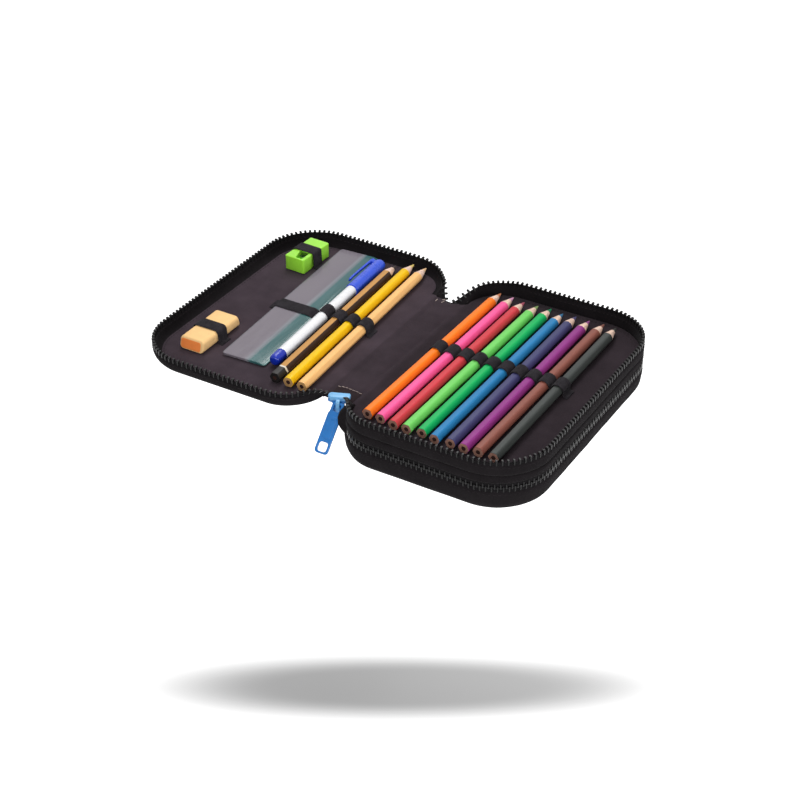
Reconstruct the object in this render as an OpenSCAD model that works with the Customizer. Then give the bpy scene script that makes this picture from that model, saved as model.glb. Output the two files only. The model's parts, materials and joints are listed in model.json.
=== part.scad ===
// Zipped pencil case with two compartments, its upper lid folded out flat and its loops filled.
// Millimetres, +Z up, +Y along the pencils towards their points, +X from the lid towards the tray.
// The origin is the middle of the underside of the lower compartment.

/* [Case outline] */
// Width of the case, across the pencils
case_w = 135; // [133:0.5:137]
// Length of the case, along the pencils
case_l = 203; // [202:0.5:206]
// Corner radius away from the spine
corner_r = 38; // [36:0.5:39]
// Corner radius beside the spine
spine_corner_r = 28; // [27:0.5:29]
// Rounding of the bottom edge of the lower compartment
base_edge_r = 8; // [6:0.5:9]
// Rounding of the outer edge of the lid
lid_edge_r = 6; // [4:0.5:6]

/* [Levels] */
// Height of the chain of the lower zip
chain_z = 18.2; // [17.8:0.1:18.4]
// Height of the tray floor, and of the floor of the open lid
floor_z = 26; // [25.8:0.1:26.4]
// Height of the groove between the skirt and the upper wall of the tray
groove_z = 27; // [26.6:0.1:27.4]
// Height of the tray's tooth tips above its floor
tray_rim = 12.4; // [12.2:0.1:13]
// Height of the lid's tooth tips above its floor
lid_rim = 10.6; // [10.4:0.1:11]

/* [Cloth and board] */
// Thickness of the padded walls
wall_t = 1.8; // [1.6:0.1:2]
// Thickness of the boards and panels
panel_t = 1.8; // [1.6:0.1:2]
// Thickness of the elastic under an item
elastic_t = 0.5; // [0.4:0.1:0.6]
// Thickness of an elastic loop over an item
loop_t = 0.8; // [0.6:0.1:0.9]
// Width of the elastic, along the pencils
elastic_w = 11; // [9:0.5:12]

/* [Zips] */
// Spacing of the teeth along one tape
tooth_pitch = 3.6; // [3.6:0.1:4]
// Width of a tooth along the tape
tooth_w = 1.5; // [1.3:0.1:1.5]
// Thickness of a tooth across the tape
tooth_t = 2.4; // [2:0.1:2.6]
// Height of a tooth above its tape
tooth_h = 2.1; // [2:0.1:2.2]
// Depth to which closed teeth mesh
tooth_mesh = 1.8; // [1.6:0.1:1.8]
// Thickness of the zip tape
tape_t = 1; // [0.8:0.1:1.2]
// Width of the tape that shows below the teeth
tape_h = 2; // [1.8:0.1:2.2]
// Width of the upper slider at its mouth
slider_w = 14.4; // [13:0.1:14.4]
// Length of a slider along the chain
slider_l = 12; // [11:0.5:12]
// Length of a puller from its pivot to its end
puller_l = 33.5; // [30:0.5:33.5]
// Width of a puller
puller_w = 8.8; // [8:0.1:9]
// Lean of the upper puller out from straight down, in degrees
puller_lean = 37; // [36:1:45]

/* [Pencils] */
// Length of a coloured pencil
pencil_l = 175; // [172:1:176]
// Width of a pencil across its flats
pencil_flats = 7; // [6.6:0.1:7.1]
// Diameter of a pencil's lead
lead_d = 3; // [2:0.1:3.4]
// Length of a pencil's sharpened cone
cone_l = 13; // [12:0.5:16]
// Spacing of the pencils in the tray
pencil_pitch = 9.9; // [9.8:0.05:10]
// Distance of the first tray pencil from the fold
first_pencil = 17.2; // [16.5:0.1:17.6]
// Place of the tray pencils' blunt ends along the case
tray_butt_y = -83.5; // [-85:0.5:-83]

/* [Lid contents] */
// Angle at which the pencils, pen and ruler lie in the lid, in degrees
lid_skew = 2.9; // [2.5:0.1:3]
// Place of the lid's elastic along the case
lid_band_y = 5.3; // [5:0.1:5.6]
// Distance of the lid's first pencil from the fold
lid_first = 18.9; // [18.7:0.1:19.2]
// Spacing of the pencils in the lid
lid_pitch = 10.3; // [10.2:0.05:10.4]
// Distance from the elastic back to the blunt ends of the lid's pencils
lid_pencil_back = 83.5; // [82:0.5:84]
// Length of the lid's striped pencil
striped_l = 167; // [160:1:170]
// Distance of the pen from the fold
pen_u = 49.6; // [49.4:0.1:49.8]
// Length of the capped pen
pen_l = 148; // [145:1:149]
// Radius of the pen's barrel
pen_r = 4; // [3.8:0.05:4]
// Distance of the ruler's middle from the fold
ruler_u = 71.8; // [71.8:0.1:72.2]
// Length of the ruler
ruler_l = 161; // [158:1:162]
// Width of the ruler
ruler_w = 33; // [31:0.5:33]
// Thickness of the ruler
ruler_t = 2; // [1.6:0.1:2]
// Length of the eraser along its underside
eraser_l = 44; // [40:1:45]
// Width of the eraser
eraser_w = 19; // [17:0.5:19]
// Height of the eraser
eraser_h = 8.8; // [8:0.1:8.8]
// Length of the sharpener
sharpener_l = 32; // [30:1:33]
// Width of the sharpener
sharpener_w = 16.4; // [16:0.1:16.6]
// Height of the sharpener
sharpener_h = 11; // [10.6:0.1:11]

/* [Hidden] */
$fn = 64;
COLOURS = ["orange", "pink", "red", "light_green", "green", "blue", "indigo", "purple", "brown", "grey"];
LACQUER = [[1, 0.5, 0.12], [1, 0.42, 0.65], [0.85, 0.25, 0.28], [0.47, 0.85, 0.4], [0.07, 0.7, 0.37],
    [0.15, 0.5, 0.75], [0.2, 0.22, 0.42], [0.55, 0.15, 0.5], [0.42, 0.22, 0.2], [0.17, 0.18, 0.18]];
LID_PENCILS = ["peach", "yellow", "striped"];
LID_LACQUER = [[1, 0.78, 0.5], [1, 0.82, 0.15], [0.35, 0.25, 0.12]];
LID_LEADS = [[0.95, 0.75, 0.55], [0.95, 0.8, 0.2], [0.2, 0.2, 0.2]];
LID_LENGTHS = [pencil_l, pencil_l, striped_l];

fit_gap = 0.1;
bore_gap = 0.02;
half_w = case_w / 2;
half_l = case_l / 2;
spine_w = tray_rim + lid_rim - tooth_mesh;
spine_x = -half_w - spine_w / 2;
lid_fold_x = -half_w - spine_w;
under_z = floor_z - panel_t;

// Tape edges and walls, from the tooth tips inwards
tray_tape_z = floor_z + tray_rim - tooth_h;
lid_tape_z = floor_z + lid_rim - tooth_h;
mesh_clear = tooth_h - tooth_mesh;
base_tape_z = chain_z - tooth_mesh / 2 - mesh_clear;
skirt_tape_z = chain_z + tooth_mesh / 2 + mesh_clear;
base_wall_z = base_tape_z - tape_h;
skirt_wall_z = skirt_tape_z + tape_h;
tape_out = (wall_t - tape_t) / 2;

// Outline corner centres and the lengths of its stretches, from the front end of the spine round to the rear
corner_x = half_w - corner_r;
corner_y = half_l - corner_r;
spine_corner_x = -half_w + spine_corner_r;
spine_corner_y = half_l - spine_corner_r;
side_mid_x = (corner_x + spine_corner_x) / 2;
side_run = corner_x - spine_corner_x;
end_run = 2 * corner_y;
spine_arc = spine_corner_r * PI / 2;
outer_arc = corner_r * PI / 2;
reach_1 = spine_arc;
reach_2 = reach_1 + side_run;
reach_3 = reach_2 + outer_arc;
reach_4 = reach_3 + end_run;
reach_5 = reach_4 + outer_arc;
reach_6 = reach_5 + side_run;
reach_7 = reach_6 + spine_arc;

// Where the zips stop short of the spine, as angles round the corners beside it
slider_end_deg = 62;
rear_end_deg = 6;
lower_front_deg = 28;
lower_rear_deg = 66;
lower_slider_deg = 58;

// Pencil shape
hex_r = pencil_flats / 2 / cos(30);
lead_r = lead_d / 2;
point_r = 0.35;
cone_slope = (pencil_flats / 2 - point_r) / cone_l;
casing_end_r = lead_r + 0.25;
item_z = floor_z + elastic_t + fit_gap;
pencil_z = item_z + pencil_flats / 2;
loop_r = hex_r + fit_gap;
tray_band_y = 5.5;

// How far each tray pencil is pushed through its loop, and how many degrees its point leans to +X
PENCIL_PUSH = [0.3, -0.2, -2.2, -1.9, -0.8, -2.6, -1.5, -2, -1, -1.4];
PENCIL_LEAN = [0.5, 0.6, 0.35, 0.7, 0.45, 0.4, 0.05, 0.3, 0.6, 0.1];

// Pen shape, measured along the pen from its end plug
plug_l = 10.8;
cap_start = 104.6;
neck_end = 120;
nose_end = 134;
cap_r = pen_r + 0.7;
neck_r = pen_r - 0.4;
pen_bore_r = 2;
refill_r = 1.5;
pen_back = 69;
pen_z = item_z + cap_r;

// Places of the ruler, eraser and sharpener
ruler_back = 72.3;
eraser_u = 104.5;
eraser_y = -53;
eraser_slant = 2.4;
eraser_edge_r = 2.6;
sharpener_u = 104.7;
sharpener_y = 66.2;
sharpener_turn = -2.5;
small_elastic_w = 10;

// Outline of the case seen from above, drawn in by an inset
module outline_2d(inset = 0) {
    for (side = [-1, 1]) {
        translate([corner_x, side * corner_y]) circle(corner_r - inset);
        translate([spine_corner_x, side * spine_corner_y]) circle(spine_corner_r - inset);
    }
    polygon([
        [half_w - inset, -corner_y], [half_w - inset, corner_y],
        [corner_x, half_l - inset], [spine_corner_x, half_l - inset],
        [-half_w + inset, spine_corner_y], [-half_w + inset, -spine_corner_y],
        [spine_corner_x, -half_l + inset], [corner_x, -half_l + inset]
    ]);
}

// The stretch of the outline beside the spine, reaching round its corners by two angles
module spine_side_2d(front_deg, rear_deg) {
    far = 1.9 * spine_corner_r;
    left = -half_w - spine_corner_r;
    polygon([
        [spine_corner_x, -spine_corner_y],
        [spine_corner_x - far * cos(front_deg), -spine_corner_y - far * sin(front_deg)],
        [left, -spine_corner_y],
        [left, spine_corner_y],
        [spine_corner_x - far * cos(rear_deg), spine_corner_y + far * sin(rear_deg)],
        [spine_corner_x, spine_corner_y]
    ]);
}

// Upright band along the outline, open on the spine side
module open_band(low, high, out, in, front_deg = 0, rear_deg = 0) {
    translate([0, 0, low]) linear_extrude(high - low) difference() {
        outline_2d(out);
        outline_2d(in);
        spine_side_2d(front_deg, rear_deg);
    }
}

// A profile swept along one straight stretch, with its X pointing out of the case
module straight_sweep(length) {
    rotate([90, 0, 0]) linear_extrude(length, center = true) children();
}

module corner_sweep(radius, from) {
    rotate([0, 0, from]) rotate_extrude(angle = 90) translate([radius, 0]) children();
}

// A profile swept along the outline; the spine side is left open unless closed is set
module outline_sweep(closed = false) {
    translate([half_w, 0, 0]) straight_sweep(end_run) children();
    translate([side_mid_x, half_l, 0]) rotate([0, 0, 90]) straight_sweep(side_run) children();
    translate([side_mid_x, -half_l, 0]) rotate([0, 0, -90]) straight_sweep(side_run) children();
    translate([corner_x, corner_y, 0]) corner_sweep(corner_r, 0) children();
    translate([corner_x, -corner_y, 0]) corner_sweep(corner_r, -90) children();
    translate([spine_corner_x, spine_corner_y, 0]) corner_sweep(spine_corner_r, 90) children();
    translate([spine_corner_x, -spine_corner_y, 0]) corner_sweep(spine_corner_r, 180) children();
    if (closed) translate([-half_w, 0, 0]) rotate([0, 0, 180]) straight_sweep(2 * spine_corner_y) children();
}

// Upright wall with a rounded lower edge, as a profile whose X is zero at the outline
module rounded_wall_2d(low, edge_r, high) {
    translate([-edge_r, low + edge_r]) intersection() {
        difference() {
            circle(edge_r);
            circle(edge_r - wall_t);
        }
        translate([0, -edge_r]) square(edge_r);
    }
    translate([-wall_t, low + edge_r]) square([wall_t, high - low - edge_r]);
}

// Point on the outline and its outward angle, at a distance along it from the front end of the spine
function on_arc(x, y, radius, angle) = [x + radius * cos(angle), y + radius * sin(angle), angle];
function turn(distance, radius) = distance / radius * 180 / PI;
function outline_at(d) =
    d < reach_1 ? on_arc(spine_corner_x, -spine_corner_y, spine_corner_r, 180 + turn(d, spine_corner_r)) :
    d < reach_2 ? [spine_corner_x + d - reach_1, -half_l, 270] :
    d < reach_3 ? on_arc(corner_x, -corner_y, corner_r, 270 + turn(d - reach_2, corner_r)) :
    d < reach_4 ? [half_w, -corner_y + d - reach_3, 0] :
    d < reach_5 ? on_arc(corner_x, corner_y, corner_r, turn(d - reach_4, corner_r)) :
    d < reach_6 ? [corner_x - d + reach_5, half_l, 90] :
    on_arc(spine_corner_x, spine_corner_y, spine_corner_r, 90 + turn(d - reach_6, spine_corner_r));

// A row of separate teeth along the outline, shifted by a part of the pitch
module tooth_row(low, shift, front_deg, rear_deg) {
    start = front_deg * PI / 180 * spine_corner_r + tooth_pitch;
    stop = reach_7 - rear_deg * PI / 180 * spine_corner_r - tooth_pitch;
    for (d = [start + shift * tooth_pitch : tooth_pitch : stop]) {
        at = outline_at(d);
        translate([at[0], at[1], low]) rotate([0, 0, at[2]])
            translate([-wall_t / 2 - tooth_t / 2, -tooth_w / 2, 0]) cube([tooth_t, tooth_w, tooth_h]);
    }
}

// Room for the slider at the front end of the spine: the walls slope down towards it
module slider_room() {
    slope = 23;
    translate([-half_w + 1, -half_l - 1, floor_z + 2.4]) rotate([0, -slope, 0])
        translate([-12, 0, 0]) cube([42, spine_corner_r + 2, 20]);
}

// What is drawn as part of the tray comes out as its mirror image in the lid
module in_lid() {
    translate([2 * spine_x, 0, 0]) mirror([1, 0, 0]) children();
}

// Rounded rectangle, centred
module rounded_2d(width, length, radius) {
    square([width - 2 * radius, length], center = true);
    square([width, length - 2 * radius], center = true);
    for (sx = [-1, 1], sy = [-1, 1])
        translate([sx * (width / 2 - radius), sy * (length / 2 - radius)]) circle(radius);
}

// Lower compartment
module base_shell() {
    color([0.09, 0.09, 0.1]) {
        outline_sweep(closed = true) rounded_wall_2d(0, base_edge_r, base_wall_z);
        linear_extrude(panel_t) outline_2d(base_edge_r);
    }
}

module base_board() {
    color([0.2, 0.18, 0.19]) translate([0, 0, panel_t]) linear_extrude(panel_t) outline_2d(base_edge_r + 1);
}

module base_spine() {
    color([0.09, 0.09, 0.1]) translate([-half_w, -spine_corner_y, base_wall_z])
        cube([wall_t, 2 * spine_corner_y, chain_z - 2 * fit_gap - base_wall_z]);
}

module base_zip_tape() {
    color([0.05, 0.05, 0.05]) open_band(base_wall_z, base_tape_z, tape_out, tape_out + tape_t);
}

module base_zip_teeth() {
    color([0.03, 0.03, 0.03]) tooth_row(base_tape_z, 0, lower_front_deg, lower_rear_deg);
}

// Slider, lying with its chain along Y, its mouth towards +Y and its pulled face up
slider_tail_w = 7.6;
slider_plate_t = 1.3;
slider_shoulder_y = 2.2;
module slider_plate(from_y, mouth_w) {
    mouth = mouth_w / 2;
    tail = slider_tail_w / 2;
    end = slider_l / 2;
    linear_extrude(slider_plate_t) polygon([
        [-tail, from_y], [tail, from_y], [mouth, slider_shoulder_y], [mouth, end - 1.5], [mouth - 2, end],
        [2 - mouth, end], [-mouth, end - 1.5], [-mouth, slider_shoulder_y]
    ]);
}

module slider(mouth_w, inner_from, bridge_z) {
    gap = 1.6;
    translate([0, 0, gap]) slider_plate(-slider_l / 2, mouth_w);
    translate([0, 0, -gap - slider_plate_t]) slider_plate(inner_from, mouth_w);
    translate([0, slider_l / 4, -gap]) cylinder(h = 2 * gap, r = 0.7);
    top = gap + slider_plate_t;
    rotate([90, 0, 90]) translate([0, 0, -1.6]) linear_extrude(3.2) polygon([
        [-4.5, top], [-3.3, top], [-3.3, bridge_z], [3.3, bridge_z], [3.3, top], [4.5, top],
        [4.5, bridge_z + 0.4], [3.7, bridge_z + 1.2], [-3.7, bridge_z + 1.2], [-4.5, bridge_z + 0.4]
    ]);
}

// Puller, lying along -Y from its pivot pin on the X axis
module puller() {
    thick = 1.4;
    eye_l = 6;
    eye_w = 4.6;
    pin_r = 0.7;
    window_l = 6.2;
    window_w = 6.4;
    window_end = 1.4;
    rotate([0, 90, 0]) cylinder(h = puller_w - 2.4, r = pin_r, center = true);
    translate([0, 0, -thick / 2]) linear_extrude(thick) difference() {
        union() {
            translate([-(puller_w - 2.4) / 2, -eye_l]) square([puller_w - 2.4, eye_l]);
            translate([0, -(puller_l + eye_l) / 2 + 0.2])
                rounded_2d(puller_w, puller_l - eye_l + 0.4, 2.4);
        }
        translate([-eye_w / 2, -eye_l + 0.6]) square([eye_w, eye_l]);
        translate([0, -puller_l + window_end + window_l / 2]) rounded_2d(window_w, window_l, 1.6);
    }
}

// The smaller slider of the lower zip, at the rear corner beside the spine, its mouth towards the spine
module at_lower_slider() {
    translate([spine_corner_x, spine_corner_y, chain_z]) rotate([0, 0, 180 - lower_slider_deg])
        translate([spine_corner_r - wall_t / 2, 0, 0]) rotate([90, 0, 90]) rotate([0, 0, -90]) children();
}

module lower_slider() {
    slider_scale = 0.55;
    mouth_w = 11.4;
    color([0.1, 0.38, 0.72]) at_lower_slider() scale(slider_scale) slider(mouth_w, -slider_l / 2, 7.2);
}

module lower_puller() {
    puller_scale = 0.7;
    pivot_out = 3.3;
    color([0.12, 0.42, 0.76]) at_lower_slider() translate([0, 0, pivot_out])
        scale(puller_scale) mirror([0, 1, 0]) puller();
}

// Tray
module tray_board() {
    color([0.26, 0.22, 0.24]) translate([0, 0, under_z]) linear_extrude(panel_t) {
        outline_2d(wall_t);
        translate([-half_w + fit_gap, -spine_corner_y + fit_gap])
            square([spine_corner_r, 2 * spine_corner_y - 2 * fit_gap]);
    }
}

module tray_wall() {
    color([0.09, 0.09, 0.1]) difference() {
        open_band(groove_z, tray_tape_z - tape_h, 0, wall_t);
        slider_room();
    }
}

module tray_skirt() {
    color([0.09, 0.09, 0.1]) open_band(skirt_wall_z, groove_z - fit_gap, 0, wall_t);
}

module tray_spine() {
    color([0.09, 0.09, 0.1]) translate([-half_w, -spine_corner_y, chain_z + 2 * fit_gap])
        cube([wall_t, 2 * spine_corner_y, under_z - chain_z - 2 * fit_gap]);
}

module tray_zip_tape() {
    color([0.05, 0.05, 0.05])
        open_band(tray_tape_z - tape_h, tray_tape_z, tape_out, tape_out + tape_t, slider_end_deg, 0);
}

module tray_zip_teeth() {
    color([0.03, 0.03, 0.03]) tooth_row(tray_tape_z, 0, slider_end_deg, rear_end_deg);
}

module skirt_zip_tape() {
    color([0.05, 0.05, 0.05]) open_band(skirt_tape_z, skirt_wall_z, tape_out, tape_out + tape_t);
}

module skirt_zip_teeth() {
    color([0.03, 0.03, 0.03])
        tooth_row(skirt_tape_z - tooth_h, 0.5, lower_front_deg, lower_rear_deg);
}

// Elastic arch over a round or hexagonal item, with its axis at the given height
module round_loop(radius, axis_z) {
    rotate([90, 0, 0]) linear_extrude(elastic_w, center = true) difference() {
        intersection() {
            translate([0, axis_z]) circle(radius + loop_t);
            translate([-2 * radius, floor_z]) square([4 * radius, 4 * radius]);
        }
        translate([0, axis_z]) circle(radius);
    }
}

// Elastic arch over a flat item
module flat_loop(width, height, length) {
    inner_w = width / 2 + 3 * fit_gap;
    inner_h = elastic_t + height + 3 * fit_gap;
    rotate([90, 0, 0]) translate([0, floor_z]) linear_extrude(length, center = true) difference() {
        translate([-inner_w - loop_t, 0]) square([2 * inner_w + 2 * loop_t, inner_h + loop_t]);
        translate([-inner_w, elastic_t]) square([2 * inner_w, inner_h - elastic_t]);
    }
}

function tray_x(i) = -half_w + first_pencil + i * pencil_pitch;
function lid_x(u) = lid_fold_x - u;

module tray_elastic() {
    last = len(COLOURS) - 1;
    tail = 8;
    color([0.06, 0.06, 0.06]) {
        translate([tray_x(0) - tail, tray_band_y - elastic_w / 2, floor_z])
            cube([tray_x(last) - tray_x(0) + 2 * tail, elastic_w, elastic_t]);
        for (i = [0 : last]) translate([tray_x(i), tray_band_y, 0]) round_loop(loop_r, pencil_z);
    }
}

// Spine
module spine_panel() {
    end_gap = 1.5;
    tongue_w = 6;
    tape_end = 3;
    color([0.24, 0.2, 0.22]) {
        translate([lid_fold_x + fit_gap, -spine_corner_y + end_gap, under_z])
            cube([spine_w - 2 * fit_gap, 2 * spine_corner_y - 2 * end_gap, panel_t]);
        translate([spine_x - tongue_w / 2, slider_y - tape_t / 2, under_z])
            cube([tongue_w, -spine_corner_y + end_gap - slider_y + tape_t / 2, tape_t]);
        translate([spine_x - tongue_w / 2, slider_y - tape_t / 2, under_z - tape_end])
            cube([tongue_w, tape_t, tape_end]);
    }
}

// The slider of the upper zip stands upright on the front end of the spine
slider_y = -spine_corner_y - 2;
slider_z = floor_z - 0.5;
module upper_slider() {
    inner_from = 1.2;
    color([0.1, 0.38, 0.72]) translate([spine_x, slider_y, slider_z]) rotate([90, 0, 0])
        slider(slider_w, inner_from, 5.2);
}

module upper_puller() {
    pivot_out = 4.1;
    pivot_up = 2.3;
    color([0.12, 0.42, 0.76]) translate([spine_x, slider_y - pivot_out, slider_z + pivot_up])
        rotate([90 - puller_lean, 0, 0]) puller();
}

// Lid
module lid_shell() {
    color([0.09, 0.09, 0.1]) in_lid() {
        difference() {
            outline_sweep() rounded_wall_2d(under_z, lid_edge_r, lid_tape_z - tape_h);
            slider_room();
        }
        translate([0, 0, under_z]) linear_extrude(panel_t) {
            outline_2d(lid_edge_r);
            translate([-half_w + fit_gap, -spine_corner_y]) square([spine_corner_r, 2 * spine_corner_y]);
        }
    }
}

module lid_zip_tape() {
    color([0.05, 0.05, 0.05]) in_lid()
        open_band(lid_tape_z - tape_h, lid_tape_z, tape_out, tape_out + tape_t, slider_end_deg, 0);
}

module lid_zip_teeth() {
    color([0.03, 0.03, 0.03]) in_lid() tooth_row(lid_tape_z, 0.5, slider_end_deg, rear_end_deg);
}

// Things in the lid lie at a small angle, turned about the elastic
module skewed(u) {
    translate([lid_x(u), lid_band_y, 0]) rotate([0, 0, lid_skew]) children();
}

module lid_elastic() {
    right_end = 11;
    left_end = ruler_u + ruler_w / 2 + 5;
    color([0.06, 0.06, 0.06]) {
        translate([lid_x(left_end), lid_band_y - elastic_w / 2, floor_z])
            cube([left_end - right_end, elastic_w, elastic_t]);
        for (i = [0 : 2]) skewed(lid_first + i * lid_pitch) round_loop(loop_r, pencil_z);
        skewed(pen_u) round_loop(pen_r + fit_gap, pen_z);
        skewed(ruler_u) flat_loop(ruler_w, ruler_t, elastic_w);
    }
}

module eraser_elastic() {
    color([0.06, 0.06, 0.06]) translate([lid_x(eraser_u), eraser_y, 0])
        flat_loop(eraser_w, eraser_h, small_elastic_w);
}

module sharpener_elastic() {
    color([0.06, 0.06, 0.06]) at_sharpener() flat_loop(sharpener_w, sharpener_h, small_elastic_w);
}

// Pencils, lying along +Y from the blunt end
module pencil_casing(length) {
    full_r = hex_r + 0.3;
    shoulder = length - (full_r - point_r) / cone_slope;
    end = length - (casing_end_r - point_r) / cone_slope;
    rotate([-90, 0, 0]) difference() {
        intersection() {
            cylinder(h = end, r = hex_r, $fn = 6);
            rotate_extrude() polygon([[0, 0], [full_r, 0], [full_r, shoulder], [casing_end_r, end], [0, end]]);
        }
        translate([0, 0, -1]) cylinder(h = length, r = lead_r);
    }
}

module pencil_lead(length) {
    body_r = lead_r - bore_gap;
    shoulder = length - (body_r - point_r) / cone_slope;
    rotate([-90, 0, 0]) rotate_extrude()
        polygon([[0, 0], [body_r, 0], [body_r, shoulder], [point_r, length], [0, length]]);
}

module tray_pencil_place(i) {
    translate([tray_x(i), tray_band_y, pencil_z]) rotate([0, 0, -PENCIL_LEAN[i]])
        translate([0, tray_butt_y - tray_band_y + PENCIL_PUSH[i], 0]) children();
}

module lid_pencil_place(i) {
    skewed(lid_first + i * lid_pitch) translate([0, -lid_pencil_back, pencil_z]) children();
}

// Pen, lying along +Y from its end plug
module pen_place() {
    skewed(pen_u) translate([0, -pen_back, pen_z]) rotate([-90, 0, 0]) children();
}

module pen_barrel() {
    nose_r = 1.9;
    color([0.95, 0.96, 0.98]) pen_place() difference() {
        rotate_extrude() polygon([[0, plug_l], [pen_r, plug_l], [pen_r, cap_start - fit_gap],
            [neck_r, cap_start - fit_gap], [neck_r, neck_end], [nose_r, nose_end], [0, nose_end]]);
        translate([0, 0, plug_l - 1]) cylinder(h = neck_end - plug_l, r = pen_bore_r);
        translate([0, 0, plug_l]) cylinder(h = nose_end, r = refill_r);
    }
}

module pen_plug() {
    stub_l = 5;
    color([0.06, 0.12, 0.5]) pen_place() rotate_extrude() polygon([[0, 0], [2.6, 0], [3.6, 1.2], [pen_r, 3],
        [pen_r, plug_l], [pen_bore_r - bore_gap, plug_l], [pen_bore_r - bore_gap, plug_l + stub_l],
        [0, plug_l + stub_l]]);
}

module pen_refill() {
    start = plug_l + 6;
    body_r = refill_r - bore_gap;
    tip = nose_end + 3.5;
    color([0.2, 0.3, 0.75]) pen_place() rotate_extrude()
        polygon([[0, start], [body_r, start], [body_r, nose_end], [0.4, tip], [0, tip]]);
}

module pen_cap() {
    wall_end = 7;
    clip_w = 3.2;
    clip_l = 34;
    clip_gap = 0.9;
    clip_t = 1.1;
    clip_turn = 50;
    color([0.05, 0.22, 0.8]) pen_place() {
        difference() {
            rotate_extrude() polygon([[0, cap_start], [cap_r, cap_start], [cap_r, pen_l - 3],
                [cap_r - 1, pen_l], [0, pen_l]]);
            translate([0, 0, cap_start - 1]) cylinder(h = pen_l - cap_start - wall_end + 1, r = neck_r + 0.08);
        }
        rotate([0, 0, -90 - clip_turn]) translate([cap_r, 0, pen_l - 1.6]) rotate([90, 0, 0])
            linear_extrude(clip_w, center = true) polygon([[-1, 0], [clip_gap + clip_t, 0],
                [clip_gap + clip_t, -clip_l], [clip_gap - 0.3, -clip_l], [clip_gap, -4], [-1, -4]]);
    }
}

module ruler() {
    bevel_w = 6;
    edge_t = 0.8;
    color([0.6, 0.62, 0.68, 0.7]) skewed(ruler_u) translate([0, ruler_l - ruler_back, item_z])
        rotate([90, 0, 0]) linear_extrude(ruler_l) polygon([[-ruler_w / 2, 0], [ruler_w / 2, 0],
            [ruler_w / 2, edge_t], [ruler_w / 2 - bevel_w, ruler_t], [-ruler_w / 2, ruler_t]]);
}

// Eraser: a block with rounded long edges and ends that lean in towards the top
module eraser() {
    half = eraser_l / 2;
    color([1, 0.72, 0.4]) translate([lid_x(eraser_u), eraser_y, item_z]) intersection() {
        rotate([90, 0, 0]) translate([0, eraser_h / 2]) linear_extrude(eraser_l, center = true)
            rounded_2d(eraser_w, eraser_h, eraser_edge_r);
        rotate([90, 0, 90]) linear_extrude(eraser_w, center = true)
            polygon([[-half, 0], [half, 0], [half - eraser_slant, eraser_h],
                [eraser_slant - half, eraser_h]]);
    }
}

// Sharpener: a waisted block with a slanted window over the blade, a well in front of the blade,
// and a cone bored in from its rear end
window_depth = 4.2;
window_front_y = -14.6;
blade_front_y = -7;
window_right_x = 5.6;
window_left = [0.4, -4.2];
blade_t = 0.6;
screw_x = 3.6;
screw_y = -3.4;

module at_sharpener() {
    translate([lid_x(sharpener_u), sharpener_y, 0]) rotate([0, 0, sharpener_turn]) children();
}

module sharpener_place() {
    at_sharpener() translate([0, 0, item_z]) children();
}

// Left edge of the window, which slants from its front end back to the middle of the block
function window_left_x(y) = window_left[0] + (window_left[1] - window_left[0]) * (1 - y / window_front_y);

// Stretch of the window between two places along it, drawn in by an inset
module window_2d(from_y, to_y, inset = 0) {
    polygon([[window_left_x(from_y) + inset, from_y], [window_right_x - inset, from_y],
        [window_right_x - inset, to_y], [window_left_x(to_y) + inset, to_y]]);
}

module sharpener_body() {
    well_depth = 6.6;
    waist_depth = 1.2;
    waist_half_l = 7;
    waist_r = (waist_half_l * waist_half_l + waist_depth * waist_depth) / (2 * waist_depth);
    bore_l = 24;
    color([0.45, 0.85, 0.1]) sharpener_place() difference() {
        linear_extrude(sharpener_h) rounded_2d(sharpener_w, sharpener_l, 1.5);
        for (side = [-1, 1]) translate([side * (sharpener_w / 2 - waist_depth + waist_r), 0, -1])
            cylinder(h = sharpener_h + 2, r = waist_r);
        translate([0, 0, sharpener_h - window_depth]) linear_extrude(window_depth + 1)
            window_2d(window_front_y, 0);
        translate([0, 0, sharpener_h - well_depth]) linear_extrude(well_depth)
            window_2d(window_front_y, blade_front_y - fit_gap);
        translate([0, sharpener_l / 2 + 0.01, sharpener_h / 2 - 0.5]) rotate([90, 0, 0])
            cylinder(h = bore_l, r1 = 4, r2 = 1.2);
        translate([screw_x, screw_y, 1.6]) cylinder(h = sharpener_h, r = 0.8);
    }
}

module sharpener_blade() {
    color([0.7, 0.71, 0.73]) sharpener_place() translate([0, 0, sharpener_h - window_depth]) difference() {
        linear_extrude(blade_t) window_2d(blade_front_y, -3 * fit_gap, 3 * fit_gap);
        translate([screw_x, screw_y, -1]) cylinder(h = 3, r = 0.85);
    }
}

module blade_screw() {
    head_r = 1.3;
    slot_w = 0.5;
    color([0.75, 0.75, 0.76]) sharpener_place() translate([screw_x, screw_y, sharpener_h - window_depth]) {
        translate([0, 0, -4]) cylinder(h = 4.7, r = 0.78);
        translate([0, 0, blade_t]) difference() {
            cylinder(h = 1, r = head_r);
            translate([-2, -slot_w / 2, 0.5]) cube([4, slot_w, 1]);
        }
    }
}

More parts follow.
